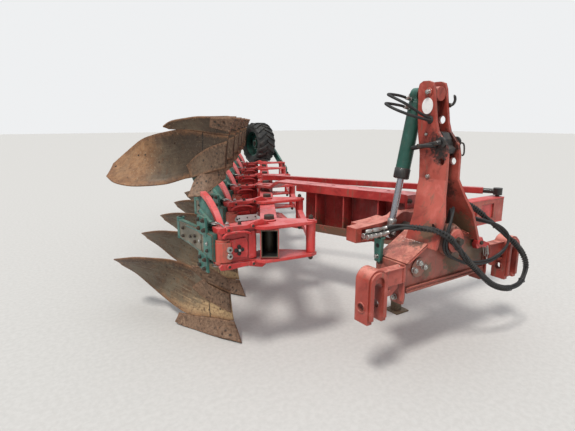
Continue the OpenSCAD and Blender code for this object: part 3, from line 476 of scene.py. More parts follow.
# Mesh building
class Kit:
    """Collects faces of many small forms into one piece. Points are in plough millimetres."""

    def __init__(self, place=Matrix.Identity(4)):
        self.points, self.faces, self.mats, self.smooth, self.marks = [], [], [], [], []
        self.place = place

    def add(self, points, faces, mat, smooth=False, marks=None):
        start = len(self.points)
        self.points += [self.place @ Vector(p) for p in points]
        self.marks += marks or [(0.0, 0.0, 0.0)] * len(points)
        self.faces += [[start + i for i in f] for f in faces]
        self.mats += [mat] * len(faces)
        self.smooth += [smooth] * len(faces)

    def box(self, a, b, mat):
        """A box between two corners."""
        x, y, z = ((min(p, q), max(p, q)) for p, q in zip(a, b))
        points = [(i, j, k) for i in x for j in y for k in z]
        faces = [(0, 1, 3, 2), (4, 6, 7, 5), (0, 4, 5, 1), (2, 3, 7, 6), (0, 2, 6, 4), (1, 5, 7, 3)]
        self.add(points, faces, mat)

    def turned(self, profile, seat, axis, mat, sides=24, close=True):
        """Profile of (distance along the axis, radius) turned about an axis through the seat."""
        seat, axis = Vector(seat), Vector(axis).normalized()
        u, v = frame_of(axis)
        points = []
        for along, radius in profile:
            points += circle(seat + axis * along, u, v, radius, sides, 0.5)
        faces = skin(len(profile), sides)
        if close:
            faces += ends_of(len(profile), sides)
        self.add(points, faces, mat, smooth=sides > 8)

    def bolt(self, seat, normal, across, mat="zinc", washer=True, stud=True):
        """A hexagon head or nut with its washer and the end of its stud, seated at a point."""
        r = across / 2 / math.cos(math.radians(30))
        t = 0.0
        if washer:
            rim = across * 0.62
            ring = [(-1, rim), (across * 0.10, rim), (across * 0.14, across * 0.58)]
            self.turned(ring, seat, normal, mat, 20)
            t = across * 0.13
        top = t + across * 0.62
        self.turned([(t - 1, r), (t + across * 0.62 * 0.86, r), (top, r * 0.84)], seat, normal, mat, 6)
        if stud:
            s = across * 0.30
            end = [(top - 2, s), (top + across * 0.16, s), (top + across * 0.2, s * 0.8)]
            self.turned(end, seat, normal, mat, 14)

    def tube(self, path, radius, mat, sides=10, closed=False):
        """A round bar along a path; radius is a number or a list of one for each point."""
        n = len(path)
        radii = radius if isinstance(radius, list) else [radius] * n
        points = []
        for (p, u, v), r in zip(frames(path, 1, closed), radii):
            points += circle(p, u, v, r, sides)
        faces = skin(n, sides, closed)
        if not closed:
            faces += ends_of(n, sides)
        self.add(points, faces, mat, smooth=True)

    def plate(self, outline, low, high, mat, axes="xy"):
        """A flat outline, made thick from low to high along the third axis."""
        n = len(outline)
        x, y, z = {"xy": (0, 1, 2), "xz": (0, 2, 1), "yz": (2, 0, 1)}[axes]
        points = [(p[x], p[y], p[z]) for p in [(a, b, c) for c in (low, high) for a, b in outline]]
        faces = [list(range(n))[::-1], [n + i for i in range(n)]]
        faces += [(i, (i + 1) % n, n + (i + 1) % n, n + i) for i in range(n)]
        self.add(points, faces, mat)

    def weld(self, path, radius, mat, seed=0):
        """A weld bead: a lumpy low bar along a path."""
        rng = random.Random(seed)
        fine = resample(path, max(4.0, radius * 0.9))
        self.tube(fine, [radius * (0.75 + 0.35 * rng.random()) for _ in fine], mat, 7)

    def done(self, name, body, bevel=0.0, angle=35, replaces=()):
        """The piece, with its edges rounded by bevel millimetres where they turn by angle degrees."""
        mesh = bpy.data.meshes.new(name)
        mesh.from_pydata([metres(p) for p in self.points], [], self.faces)
        keys = sorted(set(self.mats))
        for key in keys:
            mesh.materials.append(MATS[key])
        mesh.polygons.foreach_set("material_index", [keys.index(m) for m in self.mats])
        mesh.polygons.foreach_set("use_smooth", self.smooth)
        if any(any(m) for m in self.marks):
            layer = mesh.attributes.new("board", "FLOAT_VECTOR", "POINT")
            layer.data.foreach_set("vector", [c for m in self.marks for c in m])
        mesh.validate()
        made = place_object(name, mesh)
        if bevel:
            mod = made.modifiers.new("bevel", "BEVEL")
            mod.width = bevel / 1000
            mod.segments = 2
            mod.limit_method = "ANGLE"
            mod.angle_limit = math.radians(angle)
        len(keys) == 1 and keys[0] in SLOTS
        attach(made, body)
        if replaces:
            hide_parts(*replaces)
        return made


def frame_of(axis):
    """Two directions at right angles to an axis."""
    other = Vector((0, 0, 1)) if abs(axis.z) < 0.9 else Vector((1, 0, 0))
    u = axis.cross(other).normalized()
    return u, axis.cross(u).normalized()


def frames(path, reach=1, closed=False):
    """Each point of a path, with two directions across it that don't twist. The path's own
    direction at a point comes from the points reach places before and after it."""
    path = [Vector(p) for p in path]
    last = len(path) - 1
    u = None
    for i, p in enumerate(path):
        if closed:
            way = path[(i + 1) % len(path)] - path[i - 1]
        else:
            way = path[min(i + reach, last)] - path[max(i - reach, 0)]
        t = way.normalized()
        if u is None:
            u = frame_of(t)[0]
        u = (u - t * u.dot(t)).normalized()
        yield p, u, t.cross(u)


def circle(centre, u, v, radius, count, start=0.0):
    """Points round a circle in the plane of u and v."""
    turns = [2 * math.pi * (i + start) / count for i in range(count)]
    return [centre + (u * math.cos(a) + v * math.sin(a)) * radius for a in turns]


def skin(rings, sides, closed=False):
    """Faces between rings of points."""
    faces = []
    for i in range(rings if closed else rings - 1):
        low, high = i * sides, (i + 1) % rings * sides
        for j in range(sides):
            k = (j + 1) % sides
            faces.append((low + j, low + k, high + k, high + j))
    return faces


def ends_of(rings, sides):
    return [list(range(sides))[::-1], [(rings - 1) * sides + j for j in range(sides)]]


def resample(path, step):
    path = [Vector(p) for p in path]
    made = [path[0]]
    for a, b in zip(path, path[1:]):
        n = max(1, round((b - a).length / step))
        made += [a.lerp(b, i / n) for i in range(1, n + 1)]
    return made


def spline(points, t):
    """The same curve through points as the CAD source uses."""
    n = len(points) - 1
    i = min(int(t * n), n - 1)
    u = t * n - i
    a, b, c, d = (points[max(i - 1, 0)], points[i], points[i + 1], points[min(i + 2, n)])
    if not isinstance(a, (int, float)):
        return Vector([spline_one(*q, u) for q in zip(a, b, c, d)])
    return spline_one(a, b, c, d, u)


def spline_one(a, b, c, d, u):
    return 0.5 * (2 * b + (c - a) * u + (2 * a - 5 * b + 4 * c - d) * u * u
                  + (3 * b - a - 3 * c + d) * u * u * u)


def smooth_path(points, count):
    points = [Vector(p) for p in points]
    return [spline(points, i / count) for i in range(count + 1)]


def mirrored(side, points):
    """Points on one side of the middle, for side 1 or -1."""
    return [(side * p[0], *p[1:]) for p in points]


# Hoses
BUNDLE = [
    (141.6, 110, 1010), (198, 104, 1014), (262, 84, 1002), (330, 54, 966), (430, 2, 885),
    (520, -60, 790), (620, -110, 700), (690, -145, 605), (704, -165, 512), (633, -180, 430),
    (487, -175, 405), (315, -155, 461), (158, -130, 585), (34, -110, 697), (-60, -112, 785),
    (-160, -112, 862), (-240, -55, 905), (-300, 40, 910), (-345, 125, 893), (-408, 203, 856)]
LOOP = [
    (118, 90, 846), (112, 84, 905), (85, 60, 965), (35, 15, 1000), (-20, -30, 985),
    (-68, -55, 925), (-102, -62, 850), (-106, -56, 780), (-60, -48, 715), (30, -46, 665),
    (140, -46, 622), (267, -50, 598), (390, -70, 600), (484, -96, 650), (526, -112, 720),
    (500, -114, 790), (430, -98, 846), (350, -62, 880), (284, 4, 902), (234, 68, 914),
    (175, 105, 921.5)]
RAM_HOSE_UPPER = [
    (-73.8, 330, 1709.3), (-120, 331, 1720), (-185, 331, 1731), (-250, 331, 1736),
    (-292, 320, 1735), (-323, 289, 1728), (-334, 247, 1714), (-323, 205, 1694),
    (-292, 174, 1672), (-250, 163, 1650), (-185, 162, 1622), (-125, 161, 1600), (-66, 160, 1579)]
RAM_HOSE_LOWER = [
    (-86.7, 330, 1650.7), (-135, 330, 1662), (-200, 330, 1671), (-270, 329, 1677),
    (-314, 317, 1677), (-346, 285, 1671), (-358, 241, 1655), (-346, 197, 1635),
    (-314, 165, 1617), (-270, 153, 1603), (-200, 152, 1590), (-130, 152, 1578), (-66, 152, 1567)]
BUNDLE_HOSE_R, LOOP_HOSE_R, RAM_HOSE_R = 8.5, 8.2, 9
# Offsets in which the hoses of the bundle arrive at their couplings
BUNDLE_ENDS = [(0, -19, 0), (0, 19, 0), (0, 0, 27)]


def strands(route, count, spread, turns, ends=None):
    """Centre lines of hoses that run side by side along one route, slowly twisted.
    ends gives, for the last part of the route, the offsets in which each one arrives."""
    samples = 120
    lines = [[] for _ in range(count)]
    for i, (p, u, v) in enumerate(frames(smooth_path(route, samples))):
        w = max(0.0, min(1.0, (i / samples - 0.86) / 0.12)) if ends else 0.0
        w = w * w * (3 - 2 * w)
        for k in range(count):
            a = 2 * math.pi * (k / count + turns * i / samples)
            offset = (u * math.cos(a) + v * math.sin(a)) * spread
            if w:
                offset = offset.lerp(Vector(ends[k]), w)
            lines[k].append(p + offset)
    return lines


def path_length(path):
    return sum((b - a).length for a, b in zip(path, path[1:]))


def hose_curve(name, path, radius, node):
    """A hose as a curve with a round bevel."""
    data = bpy.data.curves.new(name, "CURVE")
    data.dimensions = "3D"
    data.bevel_depth = radius / 1000
    data.bevel_resolution = 4
    data.resolution_u = 4
    data.use_fill_caps = True
    line = data.splines.new("POLY")
    line.points.add(len(path) - 1)
    for point, p in zip(line.points, path):
        point.co = (*metres(p), 1.0)
    data.materials.append(MATS["hose"])
    made = place_object(name, data)
    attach(made, "headstock")
    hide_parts(node)
    path_length(path) / 1000


def add_hoses():
    guard = Kit()
    third = Kit()
    third.turned([(0, 9), (6, 12), (26, 13), (30, 15), (78, 15), (82, 12), (94, 12), (98, 14), (138, 14),
                  (142, 10), (145, 10)], (-408, 203, 881.5), LEFT, "zinc", 20)
    coupler = third.done("third_coupler", "headstock")
    for k, line in enumerate(strands(BUNDLE, 3, 10.4, 3.0, BUNDLE_ENDS)):
        # Crimped ferrules at both ends
        for a, b in ((0, 3), (-1, -4)):
            guard.turned([(0, 10), (4, 12), (30, 12), (34, 10.5)], line[a], line[b] - line[a], "zinc", 16)
        hose_curve(f"bundle_hose_{k + 1}", line, BUNDLE_HOSE_R, "hose_bundle")
    # Spiral guards over parts of the bundle, and ties round it
    path = smooth_path(BUNDLE, 400)
    for start, end in ((12, 36), (48, 80), (120, 168), (208, 280), (304, 360)):
        spiral_guard(guard, path[start:end + 1])
    for i in (96, 188, 292):
        u, v = frame_of((path[i + 1] - path[i - 1]).normalized())
        guard.tube(circle(path[i], u, v, 21, 28), 2.6, "guard", 6, closed=True)
    for k, line in enumerate(strands(LOOP, 2, 8.8, 1.5)):
        hose_curve(f"loop_hose_{k + 1}", line, LOOP_HOSE_R, "hose_loop")
    for y in (184, 222):
        for x in (-548, -520, -480, -440):
            guard.turned([(0, 15.2), (3, 17), (9, 17), (12, 15.2)], (x, y, 851.3), LEFT, "zinc", 20)
    guard.done("hose_guards", "headstock")


def spiral_guard(kit, part):
    """A wound strip round the bundle along a part of its route."""
    step, pitch, radius = 1.6, 19.0, 19.5
    made = []
    for i, (p, u, v) in enumerate(frames(resample(part, step), 4)):
        a = 2 * math.pi * i * step / pitch
        made.append(p + (u * math.cos(a) + v * math.sin(a)) * radius)
    kit.tube(made, 3.0, "guard", 6)


def add_ram_hoses():
    """The two hoses of the turnover ram bend between the tower and the ram's barrel."""
    trim = Kit()
    grommet = [(0, 25.6), (5, 30), (12, 30), (15, 26), (24, 25.4), (28, 20)]
    trim.turned(grommet, (-46, 160, 1574), LEFT, "hose", 32)
    trim.done("hose_grommet", "headstock")
    ends = Kit()
    for route in (RAM_HOSE_UPPER, RAM_HOSE_LOWER):
        out = Vector(route[1]) - Vector(route[0])
        ends.turned([(-6, 14), (4, 14), (5, 11), (8, 11)], route[0], out, "zinc", 6)
        ends.turned([(7, 11), (10, 12.5), (44, 12.5), (48, 10.5)], route[0], out, "zinc", 16)
    fitting = ends.done("ram_hose_fittings", "ram_cylinder")
    for name, route in (("ram_hose_upper", RAM_HOSE_UPPER), ("ram_hose_lower", RAM_HOSE_LOWER)):
        line = smooth_path(route, 72)[::-1]
        kit = Kit()
        kit.tube(line, RAM_HOSE_R, "hose", 14)
        made = kit.done(name, "headstock")
        # A blended piece has no parent and rides on no single body
        made.parent = None
        del made["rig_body"]
        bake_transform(made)
        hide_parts("ram_hoses")
        path_length(line) / 1000


# Mouldboards. A row of BOARD is a point of the lower edge, one of the upper edge and the hollow
# between them.
BOARD = [
    ((0, 118, 132), (0, 158, 350), -12),
    ((-70, 262, 118), (-75, 262, 385), 22),
    ((-150, 400, 100), (-120, 400, 425), 40),
    ((-215, 500, 98), (-155, 560, 455), 52),
    ((-262, 660, 116), (-262, 655, 496), 58),
    ((-300, 850, 140), (-385, 735, 510), 56),
    ((-345, 1020, 182), (-500, 825, 512), 48),
    ((-430, 1135, 275), (-590, 925, 490), 28),
    ((-540, 1150, 370), (-618, 1050, 455), 8)]
TRASH = [
    ((5, 162, 340), (6, 190, 428)),
    ((-73, 260, 375), (-73, 236, 495)),
    ((-116, 332, 396), (-152, 238, 538)),
    ((-160, 355, 440), (-237, 296, 547))]
SHARE = [
    ((3, 0, 10), (1, 116, 128)),
    ((-45, 80, 10), (-34, 190, 122)),
    ((-97, 163, 9.5), (-70, 262, 116)),
    ((-150, 268, 9), (-110, 330, 106)),
    ((-197, 373, 9), (-150, 400, 98)),
    ((-262, 500, 11), (-212, 496, 94)),
    ((-296, 560, 26), (-258, 562, 92))]
BOARD_BOLTS = [(0.94, 0.42), (0.76, 0.36), (0.70, 0.39), (0.58, 0.58), (0.52, 0.54), (0.44, 0.25),
               (0.24, 0.50), (0.22, 0.14), (0.10, 0.72), (0.10, 0.28)]
LANDSIDE = [(60, 4), (120, 0), (640, 0), (655, 20), (640, 130), (210, 130), (150, 92), (66, 60)]
FROG = [(300, 14), (520, 14), (520, 198.5), (400, 198.5), (330, 150)]


def between(table, u, v):
    """Point of a sheet, u along its rows and v up from its lower edge."""
    return spline([row[0] for row in table], u).lerp(spline([row[1] for row in table], u), v)


def board_point(u, v):
    hollow = spline([row[2] for row in BOARD], u)
    return between(BOARD, u, v) + Vector((0.75, 0.62, -0.1)) * hollow * 4 * v * (1 - v)


def trash_point(u, v):
    return between(TRASH, u, v)


def share_point(u, v):
    return between(SHARE, u, v) + Vector((0.6, 0.5, -0.3)) * 5 * 4 * v * (1 - v)


def worn_share_point(u, v):
    """The upper shares are worn to a point at the rear."""
    return share_point(u, v) + Vector((0, 0, 52)) * max(0.0, 2 * u - 1) ** 1.5 * (1 - v)


def bar_point(u, v):
    """Reversible point: a thick bar bolted over the front of the share."""
    along = -0.02 + 0.36 * u
    q = share_point(max(along, 0.0), 0.02 + (0.80 - 0.25 * u) * v)
    lift = sheet_normal(share_point, max(along, 0.02), 0.4) * 9
    nose = Vector((3, -12, -4)) * max(0.0, 0.05 - along)
    return q - lift + nose


def blade_surface(side):
    """Second blade of the trash board, over the front of the mouldboard. The upper ones are set steeper."""
    start, rise, high, back = ((0.30, 0.24, 0.93, 0.13), (0.14, 0.60, 0.99, 0.06))[side]

    def point(u, v):
        across = (0.36 - back * v) * u
        low = start + rise * u
        p = board_point(across, low + (high - low) * v)
        return p - sheet_normal(board_point, across, 0.6) * (10 + 3 * v)
    return point


def sheet_normal(surface, u, v):
    e = 0.004
    du = surface(min(u + e, 1), v) - surface(max(u - e, 0), v)
    dv = surface(u, min(v + e, 1)) - surface(u, max(v - e, 0))
    return du.cross(dv).normalized()


def add_sheet(kit, surface, thickness, nu, nv, kind, flip, warp, seed):
    """A curved plate with a thick rounded edge, seven shallow dents of depth warp, and its
    places along and up handed to the material. flip is for the mirrored side."""
    rng = random.Random(seed)
    dents = [(rng.random(), rng.random(), rng.uniform(-1, 1)) for _ in range(7)]
    front, back, marks = [], [], []
    for i in range(nu + 1):
        for j in range(nv + 1):
            u, v = i / nu, j / nv
            normal = sheet_normal(surface, u, v)
            hollow = sum(a * math.exp(-((u - x) ** 2 + (v - y) ** 2 * 0.4) / 0.008) for x, y, a in dents)
            p = surface(u, v) - normal * (warp * hollow)
            front.append(p)
            back.append(p + normal * thickness)
            marks.append((u, v, kind))
    width = nv + 1
    n = len(front)
    faces = []
    for i in range(nu):
        for j in range(nv):
            a, b, c, d = i * width + j, i * width + j + 1, (i + 1) * width + j + 1, (i + 1) * width + j
            faces += [(a, b, c, d), (n + d, n + c, n + b, n + a)]
    rim = [i * width for i in range(nu + 1)] + [nu * width + j for j in range(1, width)]
    rim += [i * width + nv for i in range(nu - 1, -1, -1)] + list(range(nv - 1, 0, -1))
    faces += [(a, b, n + b, n + a) for a, b in zip(rim, rim[1:] + rim[:1])]
    if flip:
        faces = [f[::-1] for f in faces]
    kit.add(front + back, faces, "board", True, marks + marks)


def add_heads(kit, surface, places, profile, sides=12):
    """Countersunk bolt heads on the face of a sheet."""
    for u, v in places:
        kit.turned(profile, surface(u, v), -sheet_normal(surface, u, v), "dark", sides)


def add_boards():
    mirror = Matrix.Translation((0, 0, 2 * AXIS_Z)) @ Matrix.Diagonal((1, 1, -1, 1))
    for k in STATIONS:
        kit = Kit()
        base = Matrix.Translation(bolt_at(k) + TIP)
        for side in (0, 1):
            kit.place = mirror @ base if side else base
            seed = 10 * k + side
            upper = side == 1
            blade = blade_surface(side)
            share = worn_share_point if upper else share_point
            add_sheet(kit, board_point, 10, 64, 22, 0.3 * side, upper, 2.2, seed)
            add_sheet(kit, trash_point, 8, 24, 10, 1.0, upper, 2.0, seed + 5)
            # On the upper side the blade's lower kind keeps it darker: painted shade
            add_sheet(kit, blade, 8, 26, 14, 1.0 - 0.36 * side, upper, 2.0, seed + 7)
            add_heads(kit, blade, ((0.22, 0.35), (0.55, 0.4), (0.35, 0.8)), [(-4, 8), (0.8, 8), (1.4, 6)])
            # On the upper side the share's kind of 0.5 keeps it darker: painted shade
            add_sheet(kit, share, 12, 36, 10, 1.0 - 0.5 * side, upper, 1.2, seed + 3)
            add_sheet(kit, bar_point, 10, 14, 8, 1.0, upper, 0.8, 9)
            for u, v in ((0.45, 0.35), (0.62, 0.62), (0.80, 0.35)):
                normal = -sheet_normal(share_point, 0.3 * u, 0.4)
                kit.turned([(-4, 10), (1, 10), (2, 8), (0.5, 4)], bar_point(u, v), normal, "dark", 14)
            add_heads(kit, board_point, BOARD_BOLTS, [(-4, 8.6), (0.6, 8.6), (1.2, 7.2), (0.2, 4.0)], 14)
            places = ((0.18, 0.4), (0.5, 0.45), (0.8, 0.35))
            add_heads(kit, trash_point, places, [(-4, 8), (1.2, 8), (1.8, 6)])
            # Landside and the frog that the share is bolted to
            kit.plate(LANDSIDE, -10, 3, "rust", "yz")
            kit.plate(FROG, -66, -10, "rust", "yz")
            for y in (330, 460, 590):
                kit.turned([(0, 13), (2, 13), (3, 10)], (3, y, 65), (1, 0, 0), "dark", 16)
        made = kit.done(f"mouldboards_{k}", f"station_{k}", 2.8, 50, [f"boards_{k}", f"shares_{k}"])


# Trim of the headstock
def add_cross_beam_trim():
    kit = Kit()
    for side in (-1, 1):
        x = side * 422
        for y, z, across, mat, stud in ((54.5, 662, 34, "zinc", True), (42, 583, 34, "zinc", True),
                                        (192, 668, 30, "dark", False), (178, 590, 24, "dark", False),
                                        (55, 468, 30, "zinc", True)):
            kit.bolt((x, y, z), (side, 0, 0), across, mat, stud=stud)
        ear = [(-14, 704), (14, 700), (16, 505), (6, 462), (-20, 462), (-24, 500)]
        kit.plate(ear, *sorted((x, x + side * 13)), "faded", "yz")
        # Sloped cover over the end of the cross beam, with its weld
        cover = mirrored(side, ((402, 694), (402, 703), (166, 832), (120, 850), (120, 815), (160, 798)))
        kit.plate(cover[::side], -12, 238, "soiled", "xz")
        kit.weld(mirrored(side, ((396, -13, 697), (170, -13, 812), (128, -13, 830))), 5, "faded", 3)
        kit.weld(mirrored(side, ((398, 4, 690), (398, 4, 545))), 5, "faded", 4)
    # Collar and cap round the front end of the turnover shaft
    kit.turned([(0, 108), (3, 110), (34, 96), (42, 92)], (0, 2, AXIS_Z), FRONT, "olive", 48)
    kit.turned([(40, 78), (62, 78), (68, 72), (72, 52), (74, 50)], (0, 2, AXIS_Z), FRONT, "faded", 40)
    for k in range(6):
        a = math.radians(60 * k + 20)
        seat = (math.cos(a) * 86, -34, AXIS_Z + math.sin(a) * 86)
        kit.bolt(seat, FRONT, 13, "dark", washer=False, stud=False)
    kit.bolt((0, -70, AXIS_Z), FRONT, 46, "dark", stud=False)
    # Bolted pad on the left
    kit.turned([(0, 60), (7, 63), (9, 61)], (-285, 1, 655), FRONT, "olive", 36)
    for x, z in ((-333, 647), (-291, 690), (-243, 655)):
        kit.bolt((x, -7, z), FRONT, 33, "zinc")
    # Cast lever on the right, with the thin wires that are tied round it
    lever = [(250, 726), (268, 768), (312, 776), (330, 748), (400, 720), (408, 694), (392, 684),
             (318, 704), (262, 700)]
    kit.plate(lever, -46, -10, "red", "xz")
    kit.turned([(0, 27), (6, 27), (8, 22)], (290, -44, 742), FRONT, "red", 28)
    kit.bolt((290, -50, 742), FRONT, 26, "dark", washer=False, stud=False)
    for dx, dz, dip in ((0, 0, 60), (26, -6, 84), (44, -14, 46)):
        wire = [(318 + dx, -52, 712 + dz), (330 + dx, -58, 690 + dz - dip * 0.6),
                (352 + dx, -54, 700 + dz - dip), (382 + dx * 0.4, -50, 664 + dz),
                (372 + dx * 0.3, -48, 706)]
        kit.tube(smooth_path(wire, 22), 2.2, "zinc", 6)
    # Strip along the lower front edge
    kit.box((-402, -22, 508), (402, -12, 520), "soiled")
    kit.weld([(-398, -15, 539), (398, -15, 539)], 4, "faded", 6)
    # Gussets and pads under the ears beside the forks
    for side in (-1, 1):
        gusset = mirrored(side, ((470, 600), (470, 560), (520, 520), (560, 520), (620, 590)))
        kit.plate(gusset, -6, 10, "faded", "xz")
        kit.box((side * 560, -34, 560), (side * 615, 50, 574), "faded")
        for end, seed in (((615, -26, 690), 8), ((446, -26, 595), 9)):
            kit.weld(mirrored(side, ((446, -26, 690), end)), 5, "faded", seed)
    kit.done("headstock_trim", "headstock", 2.5)


def add_tower_trim():
    kit = Kit()
    for side in (-1, 1):
        x, out = side * 70, (side, 0, 0)
        kit.turned([(0, 27), (5, 27), (8, 23)], (x, 180, 1749), out, "faded", 28)
        kit.bolt((x + side * 6, 180, 1749), out, 27, "zinc")
        kit.bolt((x, 179, 1481), out, 18, "zinc", washer=False)
        kit.bolt((x, 145, 1208), out, 22, "zinc", stud=False)
        kit.turned([(0, 36), (10, 36), (14, 30)], (x, 55, 1432), out, "black", 28)
    # Bent handle of the stored pin
    handle = [(-86, 55, 1432), (-98, 62, 1430), (-104, 120, 1417), (-106, 200, 1400), (-104, 262, 1387)]
    kit.tube(handle, [19, 17, 15, 15, 16], "black", 14)
    # Catch between the plates for the top link, black with old grease
    catch = [(112, 1500), (122, 1440), (104, 1372), (66, 1348), (30, 1362), (24, 1392), (52, 1412),
             (60, 1452), (84, 1492)]
    kit.plate(catch, -34, 34, "black", "yz")
    for x in (-44, 44):
        kit.turned([(0, 34), (8, 34), (9, 26)], (x, 93, 1411), (x, 0, 0), "black", 28)
    # Wire handle on the right plate
    loop = [(74, 34, 1424), (80, 16, 1428), (84, 4, 1420), (85, -2, 1392), (85, -2, 1360), (84, 6, 1348),
            (80, 18, 1352), (75, 34, 1372)]
    kit.tube(smooth_path(loop, 40), 5.5, "black", 8)
    # Hook near the top of the right plate
    hook = [(72, 122, 1668), (80, 110, 1670), (84, 100, 1684), (85, 96, 1704), (83, 100, 1724),
            (80, 106, 1732)]
    kit.tube(smooth_path(hook, 30), [9] * 24 + [8, 7, 6, 5, 4, 3, 2], "black", 10)
    kit.turned([(0, 15), (6, 15), (8, 11)], (70, 123, 1667), (1, 0, 0), "black", 18)
    # Welds at the pin of the ram
    for x, seed in ((-49, 11), (49, 12)):
        kit.weld([(x, 150, 1709), (x, 240, 1709)], 4, "faded", seed)
    # Blank oval plate
    turns = [2 * math.pi * i / 48 for i in range(48)]
    oval = [(186 + 43 * math.cos(a), 1662 + 52 * math.sin(a)) for a in turns]
    kit.plate(oval[::-1], -73.5, -69.5, "sign", "yz")
    # Oblong holes in the feet of the plates, drawn as flat near-black faces of painted shade with a rim,
    # and welds where the feet meet the cross beam
    for side in (-1, 1):
        tilt = Matrix.Rotation(side * math.radians(21), 3, "Y")
        centre = Vector((side * 179.5, -20, 905))
        lip = []
        for a in [2 * math.pi * i / 32 for i in range(32)]:
            rise = math.copysign(30 * abs(math.sin(a)) ** 0.7, math.sin(a))
            lip.append(centre + tilt @ Vector((side * 1.5, 13 * math.cos(a), rise)))
        # A flat near-black face fills the hole: painted shade
        kit.add(lip, [list(range(32))], "grease")
        kit.tube(lip, 2.2, "faded", 6, closed=True)
        kit.weld(mirrored(side, ((178, -30, 818), (182, 60, 822), (180, 168, 824))), 6, "faded", 14)
    kit.done("tower_trim", "headstock", 2.0)


def add_fork_rims():
    """Raised rim round the slot of each fork, on its front, and the collars of its pin."""
    kit = Kit()
    turns = [math.radians(a) for a in range(180, -1, -10)]
    for side in (-1, 1):
        mid = side * 693
        points = []
        for r in (66, 38.5):
            slot = [(mid - r, 430)] + [(mid + r * math.cos(a), 652 + r * math.sin(a)) for a in turns]
            slot.append((mid + r, 430))
            points += [(x, y, z) for y in (-58, -76) for x, z in slot]
        n = len(slot)
        faces = []
        for i in range(n - 1):
            faces += [(n + i, n + i + 1, 3 * n + i + 1, 3 * n + i), (i, i + 1, n + i + 1, n + i),
                      (3 * n + i, 3 * n + i + 1, 2 * n + i + 1, 2 * n + i)]
        faces += [(0, n, 3 * n, 2 * n), (n - 1, 3 * n - 1, 4 * n - 1, 2 * n - 1)]
        kit.add(points, faces, "faded")
        collar = [(0, 34), (4, 34), (5.5, 32), (6, 26.5), (-2, 26.2)]
        for out in (-1, 1):
            kit.turned(collar, (mid + out * 75, -6, 500), (out, 0, 0), "faded", 32, close=False)
        kit.weld([(mid - side * 76, -30, 690), (mid - side * 76, 44, 690)], 5, "faded", 17)
    kit.done("fork_rims", "headstock", 2.5)


def add_coupling_lug():
    """Holder of the parked couplings: a lug with a hole on the end plate."""
    kit = Kit()
    outline = [(178, 668), (226, 668), (232, 740), (236, 822), (222, 836), (184, 836), (168, 822),
               (172, 740)]
    kit.plate(outline, -447, -423, "teal", "yz")
    kit.box((-447, 160, 824), (-421, 246, 836), "teal")
    # Thin near-black disc over the hole: painted shade inside the hole
    kit.turned([(0, 15), (1.5, 15)], (-446.6, 202, 776), LEFT, "grease", 22)
    kit.bolt((-447, 202, 704), LEFT, 24, "zinc")
    kit.done("coupling_lug", "headstock", 3, replaces=["coupling_holder"])


# Top pin of the turnover ram, and how far its eye lies to the left and below
RAM_TOP = Vector((0, 330, 1739))
RAM_ACROSS, RAM_DROP = 207, 1739 - AXIS_Z - 5


def add_ram_trim():
    """Gland, ports and pin of the turnover ram."""
    lean = math.atan2(RAM_ACROSS, RAM_DROP)
    down = Vector((-math.sin(lean), 0, -math.cos(lean)))
    kit = Kit()
    gland = [(505, 50.5), (508, 54), (570, 54), (574, 51), (578, 44), (579, 30), (576, 24.2)]
    kit.turned(gland, RAM_TOP, down, "black", 40, close=False)
    kit.turned([(96, 50.3), (98, 52.5), (106, 52.5), (108, 50.3)], RAM_TOP, down, "green", 40, close=False)
    kit.turned([(56, 50.3), (58, 52), (64, 52), (66, 50.3)], RAM_TOP, down, "green", 40, close=False)
    kit.turned([(0, 30), (6, 30), (8, 25)], (0, 373, 1739), (0, 1, 0), "dark", 28)
    kit.bolt((0, 379, 1739), (0, 1, 0), 30, "zinc")
    kit.done("ram_gland", "ram_cylinder")
    rod = Kit()
    eye = RAM_TOP + down * math.hypot(RAM_ACROSS, RAM_DROP)
    rod.turned([(-98, 24), (-94, 31), (-64, 31), (-58, 27), (-40, 30)], eye, down, "steel", 32, close=False)
    rod.turned([(0, 29), (5, 29), (7, 26)], eye + Vector((0, -26, 0)), FRONT, "dark", 28)
    rod.bolt(eye + Vector((0, -32, 0)), FRONT, 26, "zinc", stud=False)
    rod.done("rod_collar", "ram_piston")


def add_head_trim():
    """Web and flanges of the long side of the turning head, and the bolts of the arm's foot."""
    kit = Kit()
    kit.box((440, 398, 712), (1222, 408, 888), "red")
    for z in (900, 690):
        kit.box((300, 382, z), (1272, 488, z + 10), "red")
    for x in (1000, 760, 520):
        kit.weld([(x - 70, 397, 886), (x + 70, 397, 886)], 4, "red", x)
    # Front of the box that the crank ends in
    crank = [(-120, 878), (-230, 864), (-372, 855), (-372, 745), (-230, 736), (-120, 722)]
    kit.plate(crank, 484, 552, "faded", "xz")
    for x in (152, 372):
        for z in (966, 634):
            kit.bolt((x, 485, z), FRONT, 30, "dark")
    kit.done("head_web", "head", 1.5)


def add_beam_trim():
    """Painted shade inside the beam's open front end, as near-black sheets, its worn rim, and the pivot's
    tube inside it.
    """
    kit = Kit(Matrix.Translation(BOLT_1) @ Matrix.Rotation(-BEAM_ANGLE, 4, "Z"))
    w, h = 48.5, 83.5
    ring = [(-w, AXIS_Z - h), (w, AXIS_Z - h), (w, AXIS_Z + h), (-w, AXIS_Z + h)]
    # Near-black sheets lining the inside of the open end: painted shade
    for (x0, z0), (x1, z1) in zip(ring, ring[1:] + ring[:1]):
        kit.add([(x0, -149, z0), (x1, -149, z1), (x1, 500, z1), (x0, 500, z0)], [(0, 1, 2, 3)], "grease")
    kit.turned([(0, 35), (2, 36), (162, 36), (164, 35)], (0, 0, AXIS_Z - 82), (0, 0, 1), "worn", 32)
    rims = ((-55, -49, -90, 90), (49, 55, -90, 90), (-49, 49, 84, 90), (-49, 49, -90, -84))
    for x0, x1, low, high in rims:
        kit.box((x0, -151.5, AXIS_Z + low), (x1, -149, AXIS_Z + high), "worn")
    kit.done("beam_inside", "beam")


